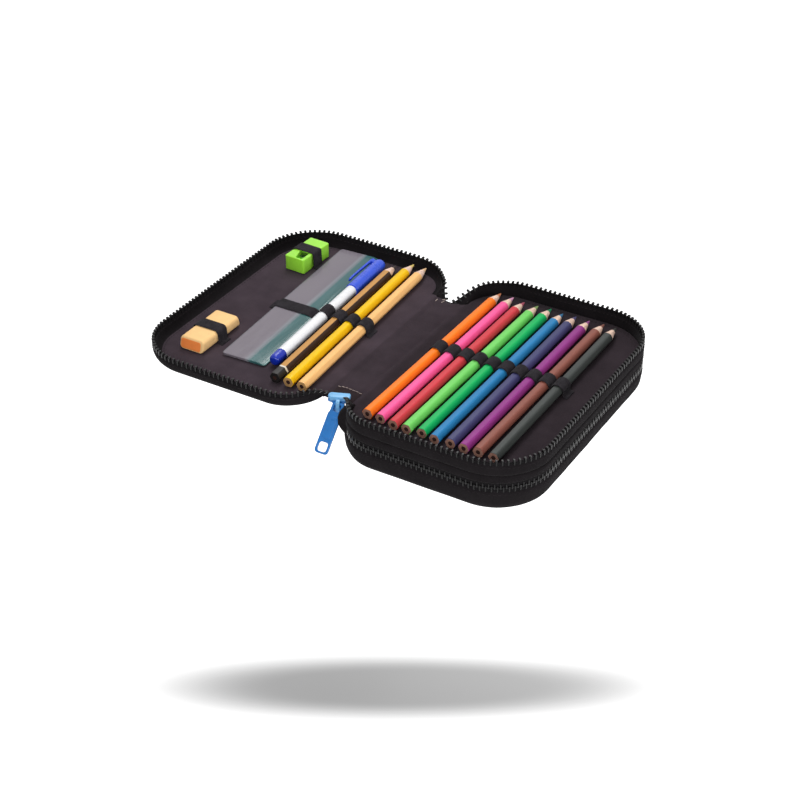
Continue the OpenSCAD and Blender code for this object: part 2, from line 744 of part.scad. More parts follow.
base_shell();
base_board();
base_spine();
base_zip_tape();
base_zip_teeth();
lower_slider();
lower_puller();
tray_board();
tray_wall();
tray_skirt();
tray_spine();
tray_zip_tape();
tray_zip_teeth();
skirt_zip_tape();
skirt_zip_teeth();
tray_elastic();
spine_panel();
upper_slider();
upper_puller();
lid_shell();
lid_zip_tape();
lid_zip_teeth();
lid_elastic();
eraser_elastic();
sharpener_elastic();
pen_barrel();
pen_plug();
pen_refill();
pen_cap();
ruler();
eraser();
sharpener_body();
sharpener_blade();
blade_screw();
for (i = [0 : len(COLOURS) - 1]) {
    color(LACQUER[i]) tray_pencil_place(i) pencil_casing(pencil_l);
    color(0.8 * LACQUER[i]) tray_pencil_place(i) pencil_lead(pencil_l);
}
for (i = [0 : len(LID_PENCILS) - 1]) {
    color(LID_LACQUER[i]) lid_pencil_place(i) pencil_casing(LID_LENGTHS[i]);
    color(LID_LEADS[i]) lid_pencil_place(i) pencil_lead(LID_LENGTHS[i]);
}
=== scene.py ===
# Zipped pencil case, open, with its loops filled: cloth, zips, stationery, light and camera.
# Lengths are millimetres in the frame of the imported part; meshes are written in metres.
import json
import math
from collections import namedtuple

import bmesh
import bpy
from mathutils import Matrix, Vector


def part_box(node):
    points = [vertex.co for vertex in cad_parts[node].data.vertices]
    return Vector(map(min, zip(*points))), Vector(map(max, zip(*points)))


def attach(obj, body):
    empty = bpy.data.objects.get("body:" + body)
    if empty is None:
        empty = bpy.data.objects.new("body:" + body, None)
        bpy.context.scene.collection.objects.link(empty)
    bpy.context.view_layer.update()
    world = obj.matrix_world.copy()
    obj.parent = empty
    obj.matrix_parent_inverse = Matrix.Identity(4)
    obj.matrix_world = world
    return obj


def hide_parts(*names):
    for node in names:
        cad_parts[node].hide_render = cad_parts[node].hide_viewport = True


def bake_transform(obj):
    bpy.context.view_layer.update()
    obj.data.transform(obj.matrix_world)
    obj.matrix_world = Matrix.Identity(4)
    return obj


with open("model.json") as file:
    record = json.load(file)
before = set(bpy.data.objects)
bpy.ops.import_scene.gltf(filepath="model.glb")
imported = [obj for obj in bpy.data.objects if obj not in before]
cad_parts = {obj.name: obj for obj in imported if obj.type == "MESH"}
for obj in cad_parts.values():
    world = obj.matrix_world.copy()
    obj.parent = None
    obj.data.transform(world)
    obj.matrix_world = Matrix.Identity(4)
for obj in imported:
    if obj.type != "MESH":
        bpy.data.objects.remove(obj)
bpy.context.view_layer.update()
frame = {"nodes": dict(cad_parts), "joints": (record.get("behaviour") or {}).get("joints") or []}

MM = 0.001
X = Vector((1, 0, 0))
Y = Vector((0, 1, 0))
Z = Vector((0, 0, 1))
HERE = Matrix.Identity(4)


# Places and sizes taken from the frame
def low_of(name):
    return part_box(name)[0] / MM


def high_of(name):
    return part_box(name)[1] / MM


def joint_named(name):
    return next(j for j in frame["joints"] if j["name"] == name)


def joint_at(name):
    return Vector(joint_named(name)["pos_m"]) / MM


def slide_axis(name):
    return Vector(joint_named(name)["axis"])


HALF_W = high_of("base_shell").x
HALF_L = high_of("base_shell").y
FOLD_X = joint_at("spine_fold").x
LID_FOLD_X = joint_at("lid_fold").x
SPINE_X = (FOLD_X + LID_FOLD_X) / 2
FLOOR_Z = joint_at("spine_fold").z
CHAIN_Z = joint_at("tray_fold").z
UNDER_Z = low_of("tray_board").z
GROOVE_Z = low_of("tray_wall").z
TRAY_WALL_Z = low_of("tray_zip_tape").z
LID_WALL_Z = low_of("lid_zip_tape").z
BASE_WALL_Z = low_of("base_zip_tape").z
BASE_TAPE_Z = high_of("base_zip_tape").z
SKIRT_WALL_Z = high_of("skirt_zip_tape").z
SKIRT_TAPE_Z = low_of("skirt_zip_tape").z
BOARD_TOP_Z = high_of("base_board").z
TAPE_H = BASE_TAPE_Z - BASE_WALL_Z

# Sizes that the boxes don't give
CORNER_R = 38
SPINE_R = 28
SPINE_CORNER_X = SPINE_R - HALF_W
END_Y = HALF_L - SPINE_R
FLOOR_EDGE_X = FOLD_X + 0.8
BASE_EDGE_R = 8
LID_EDGE_R = 6
WALL_T = 1.8
TOOTH_PITCH = 3.6
STITCH_PITCH = 2.9
BULGE = 1.6
BULGE_ANGLE = 20
STEP = 1.6


# Small helpers for numbers and places
def ripple(x, y, scale=1.0):
    a = math.sin(0.113 * x * scale + 0.071 * y * scale + 1.3)
    b = math.sin(0.057 * x * scale - 0.139 * y * scale + 4.1)
    c = math.sin(0.211 * x * scale + 0.173 * y * scale + 2.2)
    return (a + b + 0.6 * c) / 2.6


def smooth(t):
    t = min(1, max(0, t))
    return t * t * (3 - 2 * t)


def hump(x, width):
    return math.exp(-(x / width) ** 2)


def bezier(a, b, c, d, t):
    s = 1 - t
    return a * s ** 3 + b * 3 * s * s * t + c * 3 * s * t * t + d * t ** 3


def spoke(degrees):
    angle = math.radians(degrees)
    return Vector((math.cos(angle), math.sin(angle), 0))


# Points on an arc about a centre, both ends included
def arc(cx, cy, radius, first, last, count):
    points = []
    for i in range(count + 1):
        out = spoke(first + (last - first) * i / count)
        points.append((cx + radius * out.x, cy + radius * out.y))
    return points


def rounded_outline(width, length, radius, centre=(0, 0), count=6):
    points = []
    for side, end, first in ((1, 1, 0), (-1, 1, 90), (-1, -1, 180), (1, -1, 270)):
        cx = centre[0] + side * (width / 2 - radius)
        cy = centre[1] + end * (length / 2 - radius)
        points += arc(cx, cy, radius, first, first + 90, count)
    return points


def placed(x, y, z):
    return Matrix.Translation(Vector((x, y, z)) * MM)


def turn(degrees, axis):
    return Matrix.Rotation(math.radians(degrees), 4, axis)


# Turn about Z that brings +Y onto a slide's own line
def slide_turn(name):
    axis = slide_axis(name)
    return turn(-math.degrees(math.atan2(axis.x, axis.y)), "Z")


# Mesh building
class Shape:
    def __init__(self):
        self.verts = []
        self.faces = []
        self.uvs = []
        self.tags = []

    # Rings of points joined into quads; loop joins the last ring to the first, otherwise caps close the ends
    def grid(self, rows, loop=False, caps=True, tag=0, uv=None):
        first = len(self.verts)
        wide = len(rows[0])
        last = len(rows) - 1
        tag_at = tag if callable(tag) else lambda i, j: tag
        along = 0
        for i, row in enumerate(rows):
            if i:
                along += (row[0] - rows[i - 1][0]).length
            across = 0
            for j, point in enumerate(row):
                if j:
                    across += (point - row[j - 1]).length
                self.verts.append(point)
                self.uvs.append(uv(point) if uv else (along, across))
        for i in range(last + 1 if loop else last):
            here = first + i * wide
            ahead = first + (i + 1) % len(rows) * wide
            for j in range(wide):
                m = (j + 1) % wide
                self.faces.append([here + j, ahead + j, ahead + m, here + m])
                self.tags.append(tag_at(i, j))
        if caps and not loop:
            self.faces += [[first + j for j in range(wide)], [first + last * wide + j for j in range(wide)]]
            self.tags += [tag_at(0, 0), tag_at(last - 1, 0)]

    def mesh(self, name, mats, sharp=40):
        mesh = bpy.data.meshes.new(name)
        mesh.from_pydata([v * MM for v in self.verts], [], self.faces)
        give(mesh, mats)
        mesh.polygons.foreach_set("material_index", self.tags)
        layer = mesh.uv_layers.new(name="UVMap")
        for loop in mesh.loops:
            layer.data[loop.index].uv = self.uvs[loop.vertex_index]
        finish_mesh(mesh, sharp)
        return mesh

    def build(self, name, mats, lid=False):
        if lid:
            self.verts = [Vector((2 * SPINE_X - v.x, v.y, v.z)) for v in self.verts]
        return show(name, self.mesh(name, mats))


def tube_mesh(name, rows, mats, sharp=40, tag=0, uv=None):
    shape = Shape()
    shape.grid(rows, tag=tag, uv=uv)
    return shape.mesh(name, mats, sharp)


# Direction of a flat path at each of its points
def ways(points):
    ahead = points[1:] + points[-1:]
    behind = points[:1] + points[:-1]
    return [(Vector(after) - Vector(before)).normalized() for before, after in zip(behind, ahead)]


def give(mesh, mats):
    mesh.materials.clear()
    for mat in mats:
        mesh.materials.append(mat)


def finish_mesh(mesh, sharp, weld=False):
    work = bmesh.new()
    work.from_mesh(mesh)
    if weld:
        bmesh.ops.remove_doubles(work, verts=work.verts, dist=1e-6)
    bmesh.ops.recalc_face_normals(work, faces=work.faces)
    work.to_mesh(mesh)
    work.free()
    mesh.shade_smooth()
    mesh.set_sharp_from_angle(angle=math.radians(sharp))


def show(name, data):
    made = bpy.data.objects.new(name, data)
    bpy.context.scene.collection.objects.link(made)
    return made


# A piece rides on one body, named; a fold between two bodies, given instead, only fixes the piece in place
def dressed(piece, on, nodes=()):
    if isinstance(on, str):
        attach(piece, on)
    else:
        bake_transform(piece)
    if nodes:
        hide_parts(*nodes)
    return piece


def fold(first, second, start_x, end_x):
    return first, second, (start_x * MM, 0, FLOOR_Z * MM), (end_x * MM, 0, FLOOR_Z * MM)


# A closed tube of cloth over rings of points; from ring point `split` on it shows the second material
def sewn(name, rows, mats, on, nodes=(), split=None, loop=False, lid=False):
    shape = Shape()
    shape.grid(rows, loop, tag=lambda i, j: int(split is not None and j >= split))
    return dressed(shape.build(name, mats, lid), on, nodes)


# A flat plate with rounded edges from outlines, of which inner ones are holes; it lies in XY about z = 0
def plate_mesh(name, outlines, thick, edge, mats, tag=0):
    curve = bpy.data.curves.new(name + "_outline", "CURVE")
    curve.dimensions = "2D"
    curve.fill_mode = "BOTH"
    curve.extrude = (thick / 2 - edge) * MM
    curve.bevel_depth = edge * MM
    curve.bevel_resolution = 2
    curve.offset = -edge * MM
    for points in outlines:
        spline = curve.splines.new("POLY")
        spline.points.add(len(points) - 1)
        for point, (x, y) in zip(spline.points, points):
            point.co = (x * MM, y * MM, 0, 1)
        spline.use_cyclic_u = True
    holder = show(name + "_outline", curve)
    graph = bpy.context.evaluated_depsgraph_get()
    mesh = bpy.data.meshes.new_from_object(holder.evaluated_get(graph))
    bpy.data.objects.remove(holder)
    bpy.data.curves.remove(curve)
    mesh.name = name
    give(mesh, mats)
    finish_mesh(mesh, 40, weld=True)
    mesh.polygons.foreach_set("material_index", [tag] * len(mesh.polygons))
    return mesh


# Several meshes, each with its own place, joined into one piece
def joined(name, meshes, place, sharp=40):
    work = bmesh.new()
    for mesh, own in meshes:
        mesh.transform(place @ own)
        work.from_mesh(mesh)
    out = bpy.data.meshes.new(name)
    give(out, meshes[0][0].materials)
    work.to_mesh(out)
    work.free()
    for mesh, own in meshes:
        bpy.data.meshes.remove(mesh)
    finish_mesh(out, sharp)
    return show(name, out)


# Materials
def srgb(red, green, blue):
    def linear(value):
        value = value / 255
        return value / 12.92 if value <= 0.04045 else ((value + 0.055) / 1.055) ** 2.4
    return (linear(red), linear(green), linear(blue), 1)


def shade(colour, factor):
    return (colour[0] * factor, colour[1] * factor, colour[2] * factor, 1)


def node(tree, kind, inputs=None, **settings):
    made = tree.nodes.new(kind)
    for key, value in settings.items():
        setattr(made, key, value)
    for key, value in (inputs or {}).items():
        if isinstance(value, bpy.types.NodeSocket):
            tree.links.new(value, made.inputs[key])
        else:
            made.inputs[key].default_value = value
    return made


def material(name, **values):
    mat = bpy.data.materials.new(name)
    mat.use_nodes = True
    shader = mat.node_tree.nodes["Principled BSDF"]
    for key, value in values.items():
        shader.inputs[key.replace("_", " ")].default_value = value
    return mat, mat.node_tree, shader


def ramp(tree, factor, stops):
    made = node(tree, "ShaderNodeValToRGB", {"Fac": factor})
    elements = made.color_ramp.elements
    elements[0].position, elements[0].color = stops[0]
    elements[1].position, elements[1].color = stops[-1]
    for position, colour in stops[1:-1]:
        elements.new(position).color = colour
    return made.outputs["Color"]


def coloured(tree, shader, factor, stops):
    tree.links.new(ramp(tree, factor, stops), shader.inputs["Base Color"])


def calc(tree, operation, *values):
    return node(tree, "ShaderNodeMath", dict(enumerate(values)), operation=operation).outputs[0]


# First value times a share, plus the second times another
def blend_of(tree, first, share, second, other_share):
    return calc(tree, "MULTIPLY_ADD", first, share, calc(tree, "MULTIPLY", second, other_share))


def noise(tree, vector, scale, detail=3, stretch=None):
    if stretch:
        vector = node(tree, "ShaderNodeMapping", {"Vector": vector, "Scale": stretch}).outputs["Vector"]
    made = node(tree, "ShaderNodeTexNoise", {"Vector": vector, "Scale": scale, "Detail": detail})
    return made.outputs["Fac"]


def object_coordinates(tree):
    return node(tree, "ShaderNodeTexCoord").outputs["Object"]


def uv_parts(tree):
    uv = node(tree, "ShaderNodeUVMap", uv_map="UVMap").outputs["UV"]
    parts = node(tree, "ShaderNodeSeparateXYZ", {"Vector": uv})
    return parts.outputs["X"], parts.outputs["Y"]


def wave(tree, value, length):
    return calc(tree, "SINE", calc(tree, "MULTIPLY", value, 2 * math.pi / length))


def rough_by(tree, shader, factor, least, most):
    spread = node(tree, "ShaderNodeMapRange", {"Value": factor, "From Min": 0.3, "From Max": 0.7,
                                               "To Min": least, "To Max": most})
    tree.links.new(spread.outputs["Result"], shader.inputs["Roughness"])


def bump(tree, shader, height, distance, strength):
    made = node(tree, "ShaderNodeBump", {"Height": height, "Strength": strength, "Distance": distance * MM})
    tree.links.new(made.outputs["Normal"], shader.inputs["Normal"])


# Woven cloth: plain weave along the piece's own UV, with soft colour patches and fuzz; the colour also
# follows the weave's height, darker in its dips, a painted shade
def cloth(name, colour, thread, depth, light):
    mat, tree, shader = material(name, Roughness=0.95, Sheen_Weight=0.04, Sheen_Roughness=0.45,
                                 Specular_IOR_Level=0.06)
    along, across = uv_parts(tree)
    crossing = calc(tree, "MULTIPLY", wave(tree, along, thread), wave(tree, across, thread))
    weave = calc(tree, "MULTIPLY_ADD", crossing, 0.5, 0.5)
    space = object_coordinates(tree)
    # Colour follows the weave height, darker in its dips: painted shade
    level = blend_of(tree, weave, 0.35, noise(tree, space, 60, 4), 0.65)
    coloured(tree, shader, level, [(0.3, shade(colour, 0.7)), (0.5, colour), (0.72, shade(colour, light))])
    fuzz = calc(tree, "MULTIPLY", noise(tree, space, 1800, 2), 0.6)
    bump(tree, shader, calc(tree, "ADD", weave, fuzz), depth, 0.8)
    return mat


# Ribbed elastic: cords along the band, crossed by fine threads; the colour follows the cords' height, lighter
# on their tops and darker between them, a painted highlight and shade
def elastic_band(name, colour):
    mat, tree, shader = material(name, Roughness=0.9, Sheen_Weight=0.05, Sheen_Roughness=0.4,
                                 Specular_IOR_Level=0.08)
    along, across = uv_parts(tree)
    threads = calc(tree, "MULTIPLY", wave(tree, along, 0.5), 0.5)
    height = calc(tree, "ADD", wave(tree, across, 0.9), threads)
    # Colour follows the rib height: painted highlight on the cords, painted shade between them
    level = blend_of(tree, height, 0.14, noise(tree, object_coordinates(tree), 220), 1)
    coloured(tree, shader, level, [(0.2, shade(colour, 0.6)), (0.5, colour), (0.85, shade(colour, 1.6))])
    bump(tree, shader, height, 0.1, 0.7)
    return mat


# Moulded or painted hard surface with fine mottling
def hard(name, colour, rough, grain, depth, coat=0.0, variety=0.12, gloss=0.3, stretch=None, metal=0.0):
    mat, tree, shader = material(name, Metallic=metal, Coat_Weight=coat, Coat_Roughness=0.12,
                                 Specular_IOR_Level=gloss)
    space = object_coordinates(tree)
    mottle = noise(tree, space, grain, 4, stretch)
    level = blend_of(tree, mottle, 0.6, noise(tree, space, 45, 2), 0.4)
    coloured(tree, shader, level, [(0.3, shade(colour, 1 - variety)), (0.7, shade(colour, 1 + variety))])
    rough_by(tree, shader, mottle, max(0.03, rough - 0.08), rough + 0.08)
    bump(tree, shader, mottle, depth, 0.6)
    return mat


def wood(name, colour, stretch):
    mat, tree, shader = material(name, Roughness=0.7, Specular_IOR_Level=0.3)
    grain = noise(tree, object_coordinates(tree), 1, 4, stretch)
    coloured(tree, shader, grain, [(0.3, shade(colour, 0.7)), (0.55, colour), (0.75, shade(colour, 1.2))])
    bump(tree, shader, grain, 0.05, 0.7)
    return mat


OUTER = cloth("outer_cloth", srgb(30, 27, 29), 0.62, 0.09, 1.5)
# One lining cloth drawn at three levels: darkest in the base and tray, a painted shade; middle on the spine;
# lightest in the lid, a painted light
LINING = cloth("lining_cloth", srgb(51, 43, 48), 0.5, 0.05, 1.3)
LID_LINING_PAINTED_LIGHT = cloth("lid_lining_cloth_painted_light", srgb(66, 56, 63), 0.5, 0.05, 1.3)
SPINE_CLOTH = cloth("spine_lining_cloth", srgb(58, 49, 55), 0.5, 0.05, 1.3)
END_CLOTH = cloth("spine_end_lining", srgb(48, 39, 42), 0.5, 0.05, 1.3)
TAPE = cloth("zip_tape_cloth", srgb(26, 24, 26), 0.45, 0.07, 1.5)
# Inner faces of all the walls: the cloth drawn near black, darker than the lining, a painted shade
INNER_WALL_PAINTED_SHADE = cloth("inner_wall_cloth_painted_shade", srgb(25, 22, 24), 0.5, 0.05, 1.4)
# Walls: outer cloth outside, the painted-shade cloth inside
WALL_CLOTHS = [OUTER, INNER_WALL_PAINTED_SHADE]
ELASTIC = elastic_band("elastic_knit", srgb(42, 39, 43))
TEETH = hard("tooth_plastic", srgb(21, 20, 21), 0.3, 700, 0.01, variety=0.25, gloss=0.22)
THREAD = hard("dark_thread", srgb(40, 36, 38), 0.8, 900, 0.03, variety=0.3, gloss=0.1)
PALE_THREAD = hard("pale_thread", srgb(172, 156, 150), 0.8, 900, 0.03, variety=0.2, gloss=0.1)
ENAMEL = hard("blue_enamel", srgb(40, 120, 196), 0.34, 300, 0.008, coat=0.15, variety=0.1)
# A lighter copy of the blue enamel for the sliders' bar and bridge: a painted highlight
ENAMEL_PAINTED_HIGHLIGHT = hard("blue_enamel_painted_highlight", srgb(118, 184, 234), 0.34, 300, 0.008, coat=0.15, variety=0.1)
ENAMELS = [ENAMEL, ENAMEL_PAINTED_HIGHLIGHT]
PALE_WOOD = wood("cone_wood", srgb(246, 212, 192), (900, 60, 900))
BUTT_WOOD = wood("butt_wood", srgb(168, 124, 108), (300, 300, 300))
TAN_WOOD = wood("butt_wood_tan", srgb(206, 160, 104), (300, 300, 300))
# The lead at the blunt end, drawn dark brown for every colour: a painted shade
BUTT_CORE_PAINTED_SHADE = hard("butt_core_painted_shade", srgb(62, 42, 38), 0.6, 900, 0.02, variety=0.2, gloss=0.1)

LACQUERS = {
    "orange": (255, 130, 28), "pink": (255, 98, 163), "red": (212, 62, 72), "light_green": (120, 215, 104),
    "green": (14, 180, 94), "blue": (40, 128, 184), "indigo": (64, 64, 106), "purple": (146, 52, 134),
    "brown": (142, 84, 72), "grey": (60, 64, 62), "peach": (255, 198, 126), "yellow": (246, 198, 14),
    "striped": (202, 148, 80),
}
TIPS = {
    "orange": (206, 132, 96), "pink": (220, 156, 192), "red": (172, 86, 104), "light_green": (138, 164, 104),
    "green": (36, 124, 82), "blue": (60, 112, 150), "indigo": (78, 74, 112), "purple": (150, 84, 140),
    "brown": (132, 88, 78), "grey": (62, 62, 60), "peach": (238, 196, 150), "yellow": (226, 198, 118),
    "striped": (72, 62, 60),
}


# Outline of the case, from the front end of the spine round to its rear end
def outline(front_deg=0, rear_deg=0):
    near = (SPINE_CORNER_X, END_Y, SPINE_R)
    far = (HALF_W - CORNER_R, HALF_L - CORNER_R, CORNER_R)
    arcs = [(near, -1, 180 + front_deg, 270), (far, -1, 270, 360), (far, 1, 0, 90),
            (near, 1, 90, 180 - rear_deg)]
    stations = []
    for (cx, cy, radius), side, first, last in arcs:
        count = max(2, round(math.radians(last - first) * radius / STEP))
        for i in range(count + 1):
            out = spoke(first + (last - first) * i / count)
            at = Vector((cx, side * cy, 0)) + out * radius
            if i == 0 and stations:
                run_on(stations, at, out)
            stations.append((at, out))
    return stations


def run_on(stations, at, out):
    start = stations[-1][0].copy()
    count = max(1, round((at - start).length / STEP))
    for i in range(1, count):
        stations.append((start.lerp(at, i / count), out))


def closed_outline():
    stations = outline()
    run_on(stations, stations[0][0], -X)
    return stations


# Angle round the nearer corner beside the spine: 0 at the spine, 90 at the end wall, then more along it
def corner_angle(at):
    if at.x > SPINE_CORNER_X:
        return 90 + math.degrees((at.x - SPINE_CORNER_X) / SPINE_R)
    return math.degrees(math.atan2(abs(at.y) - END_Y, SPINE_CORNER_X - at.x))


def rear_angle(at):
    return corner_angle(at) if at.y >= 0 else 360


def swept(stations, profile, soft=0.0):
    rows = []
    for at, out in stations:
        row = []
        for o, h in profile:
            swell = soft * ripple(at.x + at.y, 3 * h + at.y) if soft else 0
            if soft and o > -1:
                swell += corner_bulge(at, h)
            row.append(at + out * (o + swell) + Z * h)
        rows.append(row)
    return rows


# The front corner beside the spine is fuller, where the end of the lower zip is folded in
def corner_bulge(at, h):
    if at.x > SPINE_CORNER_X or at.y > 15 - END_Y:
        return 0
    level = smooth(h / 8) * (1 - 0.6 * smooth((h - 12) / 3))
    return BULGE * level * hump(corner_angle(at) - BULGE_ANGLE, BULGE_ANGLE)


# A padded floor from a boundary: flat below, softly uneven above, with rounded edges
def padded_floor(name, boundary, bottom, top, mats, body, replaced, uneven, edge, lid=False):
    centre = sum(boundary, Vector()) / len(boundary)

    def ring(scale, inset, z, lift=0):
        row = []
        for p in boundary:
            reach = p - centre
            at = centre + reach * (scale * (reach.length - inset) / reach.length)
            row.append(Vector((at.x, at.y, z + lift * ripple(at.x, at.y, 1.6))))
        return row

    rows = [ring(scale, 0, bottom) for scale in (0.02, 0.5, 0.9)]
    rows += [ring(1, edge, bottom), ring(1, 0, bottom + edge)]
    under = len(rows) - 1
    rows += [ring(1, 0, top - edge), ring(1, 0.3 * edge, top - 0.3 * edge), ring(1, edge, top)]
    for scale in (0.96, 0.9, 0.8, 0.68, 0.54, 0.38, 0.2, 0.02):
        rows.append(ring(scale, edge, top, uneven * (1 if scale < 0.93 else 0.4)))
    shape = Shape()
    shape.grid(rows, tag=lambda i, j: len(mats) - 1 if i < under else 0, uv=lambda p: (p.x, p.y))
    dressed(shape.build(name, mats, lid), body, [replaced])


def floor_boundary(inset):
    points = [at - out * inset for at, out in outline()]
    reach = END_Y - 0.1
    count = 90
    for i in range(count + 1):
        points.append(Vector((FLOOR_EDGE_X, reach - 2 * reach * i / count, 0)))
    return points


# Stitches: short rounded threads lying along a path
def stitch(shape, middle, along, out, length=1.9, radius=0.17):
    side = along.cross(out).normalized()
    rows = []
    for t, full in ((-0.5, 0.35), (-0.32, 0.95), (0, 1.05), (0.32, 0.95), (0.5, 0.35)):
        sink = -0.12 if abs(t) == 0.5 else 0
        at = middle + along * (t * length) + out * sink
        r = radius * full
        rows.append([at + out * r, at + side * r, at - out * r, at - side * r])
    shape.grid(rows)


# Rows of stitches at places of out, height and facing, where 0 faces up; lead is the way to the first stitch
def stitch_rows(name, stations, places, body, lead=0.0, lid=False):
    shape = Shape()
    for o, h, facing in places:
        walked = STITCH_PITCH - lead
        for (before, _), (at, out) in zip(stations, stations[1:]):
            walked += (at - before).length
            if walked >= STITCH_PITCH:
                walked = 0
                face = out * facing if facing else Z
                stitch(shape, at + out * o + Z * h, (at - before).normalized(), face)
    dressed(shape.build(name, [THREAD], lid), body)


# One zip tooth at a place: legs on the tape, a neck and a head
TOOTH = [(-1.7, 0.46, 0.9), (-0.3, 0.62, 1.12), (0.4, 0.5, 1.06), (0.85, 0.88, 1.14), (1.5, 0.88, 1.14),
         (1.95, 0.55, 0.84)]
TOOTH_SECTION = [(1, 0.7), (0.7, 1), (-0.7, 1), (-1, 0.7), (-1, -0.7), (-0.7, -1), (0.7, -1), (1, -0.7)]


def tooth(shape, at, along, out, up):
    rows = []
    for height, half_a, half_o in TOOTH:
        rows.append([at + along * (a * half_a) + out * (o * half_o) + up * height for a, o in TOOTH_SECTION])
    shape.grid(rows)


# A row of teeth along the edge of a tape; shift is in pitches
def zip_teeth(name, stations, shift, on, replaced, lid=False):
    shape = Shape()
    walked = -shift * TOOTH_PITCH
    for a, b in zip(stations, stations[1:]):
        step = b.top - a.top
        while walked <= step.length:
            t = walked / step.length
            out = a.out.lerp(b.out, t).normalized()
            up = a.up.lerp(b.up, t).normalized()
            if walked >= 0:
                at = a.top.lerp(b.top, t) - out * (WALL_T / 2) + up * TAPE_H
                tooth(shape, at, step.normalized(), out, up)
            walked += TOOTH_PITCH
        walked -= step.length
    dressed(shape.build(name, [TEETH], lid), on, [replaced])


# Rim of the tray or lid, ending in gussets that come down to the two ends of the spine
Station = namedtuple("Station", "top foot out up")
End = namedtuple("End", "top foot along up")
FRONT_LEAVE = 50
REAR_LEAVE = 42
LID_SETTLE = 80
SAG_FROM = 105
FRONT_EASE = 11
# The upper slider sits a little towards the tray, and the tray's rim ends at it
SLIDER_SHIFT = 1.5


def front_end(shift):
    return End(Vector((SPINE_X + 4.6 + shift, -END_Y - 2.3, FLOOR_Z + 1.4)),
               Vector((SPINE_X + 2.0 + shift, -END_Y + 0.2, FLOOR_Z - 0.8)),
               Vector((-0.75, 0.25, -0.6)), Vector((-0.85, 0, 0.52)))


# The rear ends of the two rims run down behind the spine and leave a notch between them
def rear_end(x, z, along):
    return End(Vector((x, END_Y + 0.6, z)), Vector((x, END_Y - 0.4, z - 0.7)), Vector(along),
               Vector((-0.9, 0.1, 0.25)))


def gusset(start, along, side, leave, settle, foot_z, end, ease):
    count = 16
    round_share = 0.6
    handles = (start.top, start.top + along * ease, end.top - end.along * ease, end.top)
    tops = [bezier(*handles, i / count) for i in range(count + 1)]
    stations = []
    for i in range(1, count + 1):
        t = i / count
        way = tops[i] - tops[i - 1]
        flat = Vector((way.y, -way.x, 0)).normalized()
        if flat.dot(start.out) < 0:
            flat = -flat
        if t < round_share:
            angle = leave * (1 - t / round_share)
            middle = Vector((SPINE_CORNER_X, side * END_Y, foot_z(min(1, angle / settle))))
            foot = middle + spoke(180 - side * angle) * SPINE_R
        else:
            corner = Vector((-HALF_W, side * END_Y, foot_z(0)))
            foot = corner.lerp(end.foot, smooth((t - round_share) / (1 - round_share)))
        up = start.up.lerp(end.up, smooth(t)).normalized()
        stations.append(Station(tops[i], foot, flat, up))
    return stations


# sag is how far the rim sinks at the rear corner beside the spine, over the angle spread
def rim(wall_z, foot_z, start, end, sag, spread, settle, ease):
    body = []
    for at, out in outline(FRONT_LEAVE, REAR_LEAVE):
        angle = rear_angle(at)
        drop = sag * smooth((SAG_FROM - angle) / spread)
        body.append(Station(at + Z * (wall_z - drop), at + Z * foot_z(min(1, angle / settle)), out, Z))
    front_way = (body[0].top - body[1].top).normalized()
    rear_way = (body[-1].top - body[-2].top).normalized()
    front = gusset(body[0], front_way, -1, FRONT_LEAVE, FRONT_LEAVE, foot_z, start, FRONT_EASE)
    rear = gusset(body[-1], rear_way, 1, REAR_LEAVE, settle, foot_z, end, ease)
    return list(reversed(front)) + body + rear


def rim_wall(stations, profile):
    rows = []
    for s in stations:
        row = []
        for v, o in profile:
            swell = 0.12 * ripple(s.top.x + s.top.y, 5 * v + s.top.y)
            row.append(s.foot + (s.top - s.foot) * v + s.out * (o + swell))
        rows.append(row)
    return rows


def rim_tape(stations):
    bead = TAPE_H + 0.28
    profile = [(-1.4, -0.6), (-1.4, TAPE_H - 0.7), (-1.52, TAPE_H - 0.3), (-1.4, bead - 0.2), (-1.1, bead),
               (-0.7, bead), (-0.4, bead - 0.2), (-0.28, TAPE_H - 0.3), (-0.4, TAPE_H - 0.7), (-0.4, -0.6)]
    return [[s.top + s.out * o + s.up * h for o, h in profile] for s in stations]


def tray_foot_z(k):
    low = UNDER_Z + 0.5
    return low + (GROOVE_Z - low) * k


# Share of the lid's edge height that is left near the spine
def lid_share(k):
    return 0.45 + 0.55 * k


def lid_foot_z(k):
    return UNDER_Z + LID_EDGE_R * lid_share(k)


TRAY_END = rear_end(SPINE_X + 1.6, FLOOR_Z - 3.2, (-0.8, -0.25, -0.55))
LID_END = rear_end(SPINE_X + 7.2, FLOOR_Z - 2.2, (-0.45, -0.5, -0.74))
TRAY_RIM = rim(TRAY_WALL_Z, tray_foot_z, front_end(SLIDER_SHIFT), TRAY_END, 1.4, 45, REAR_LEAVE, 9)
LID_RIM = rim(LID_WALL_Z, lid_foot_z, front_end(0), LID_END, 3.4, 75, LID_SETTLE, 12)
BEND_START = 3.5
BEND_END = 0.6
CHAIN_BEND = 1.2
SPINE_BEND = 0.9
TRAY_BEND = fold("tray", "spine", FOLD_X + BEND_START, SPINE_X + BEND_END)
LID_BEND = fold("spine", "lid", SPINE_X - BEND_END, LID_FOLD_X - BEND_START)
LOW_BEND = ("base", "tray", (FOLD_X * MM, 0, (CHAIN_Z - CHAIN_BEND) * MM),
            (FOLD_X * MM, 0, (CHAIN_Z + CHAIN_BEND) * MM))

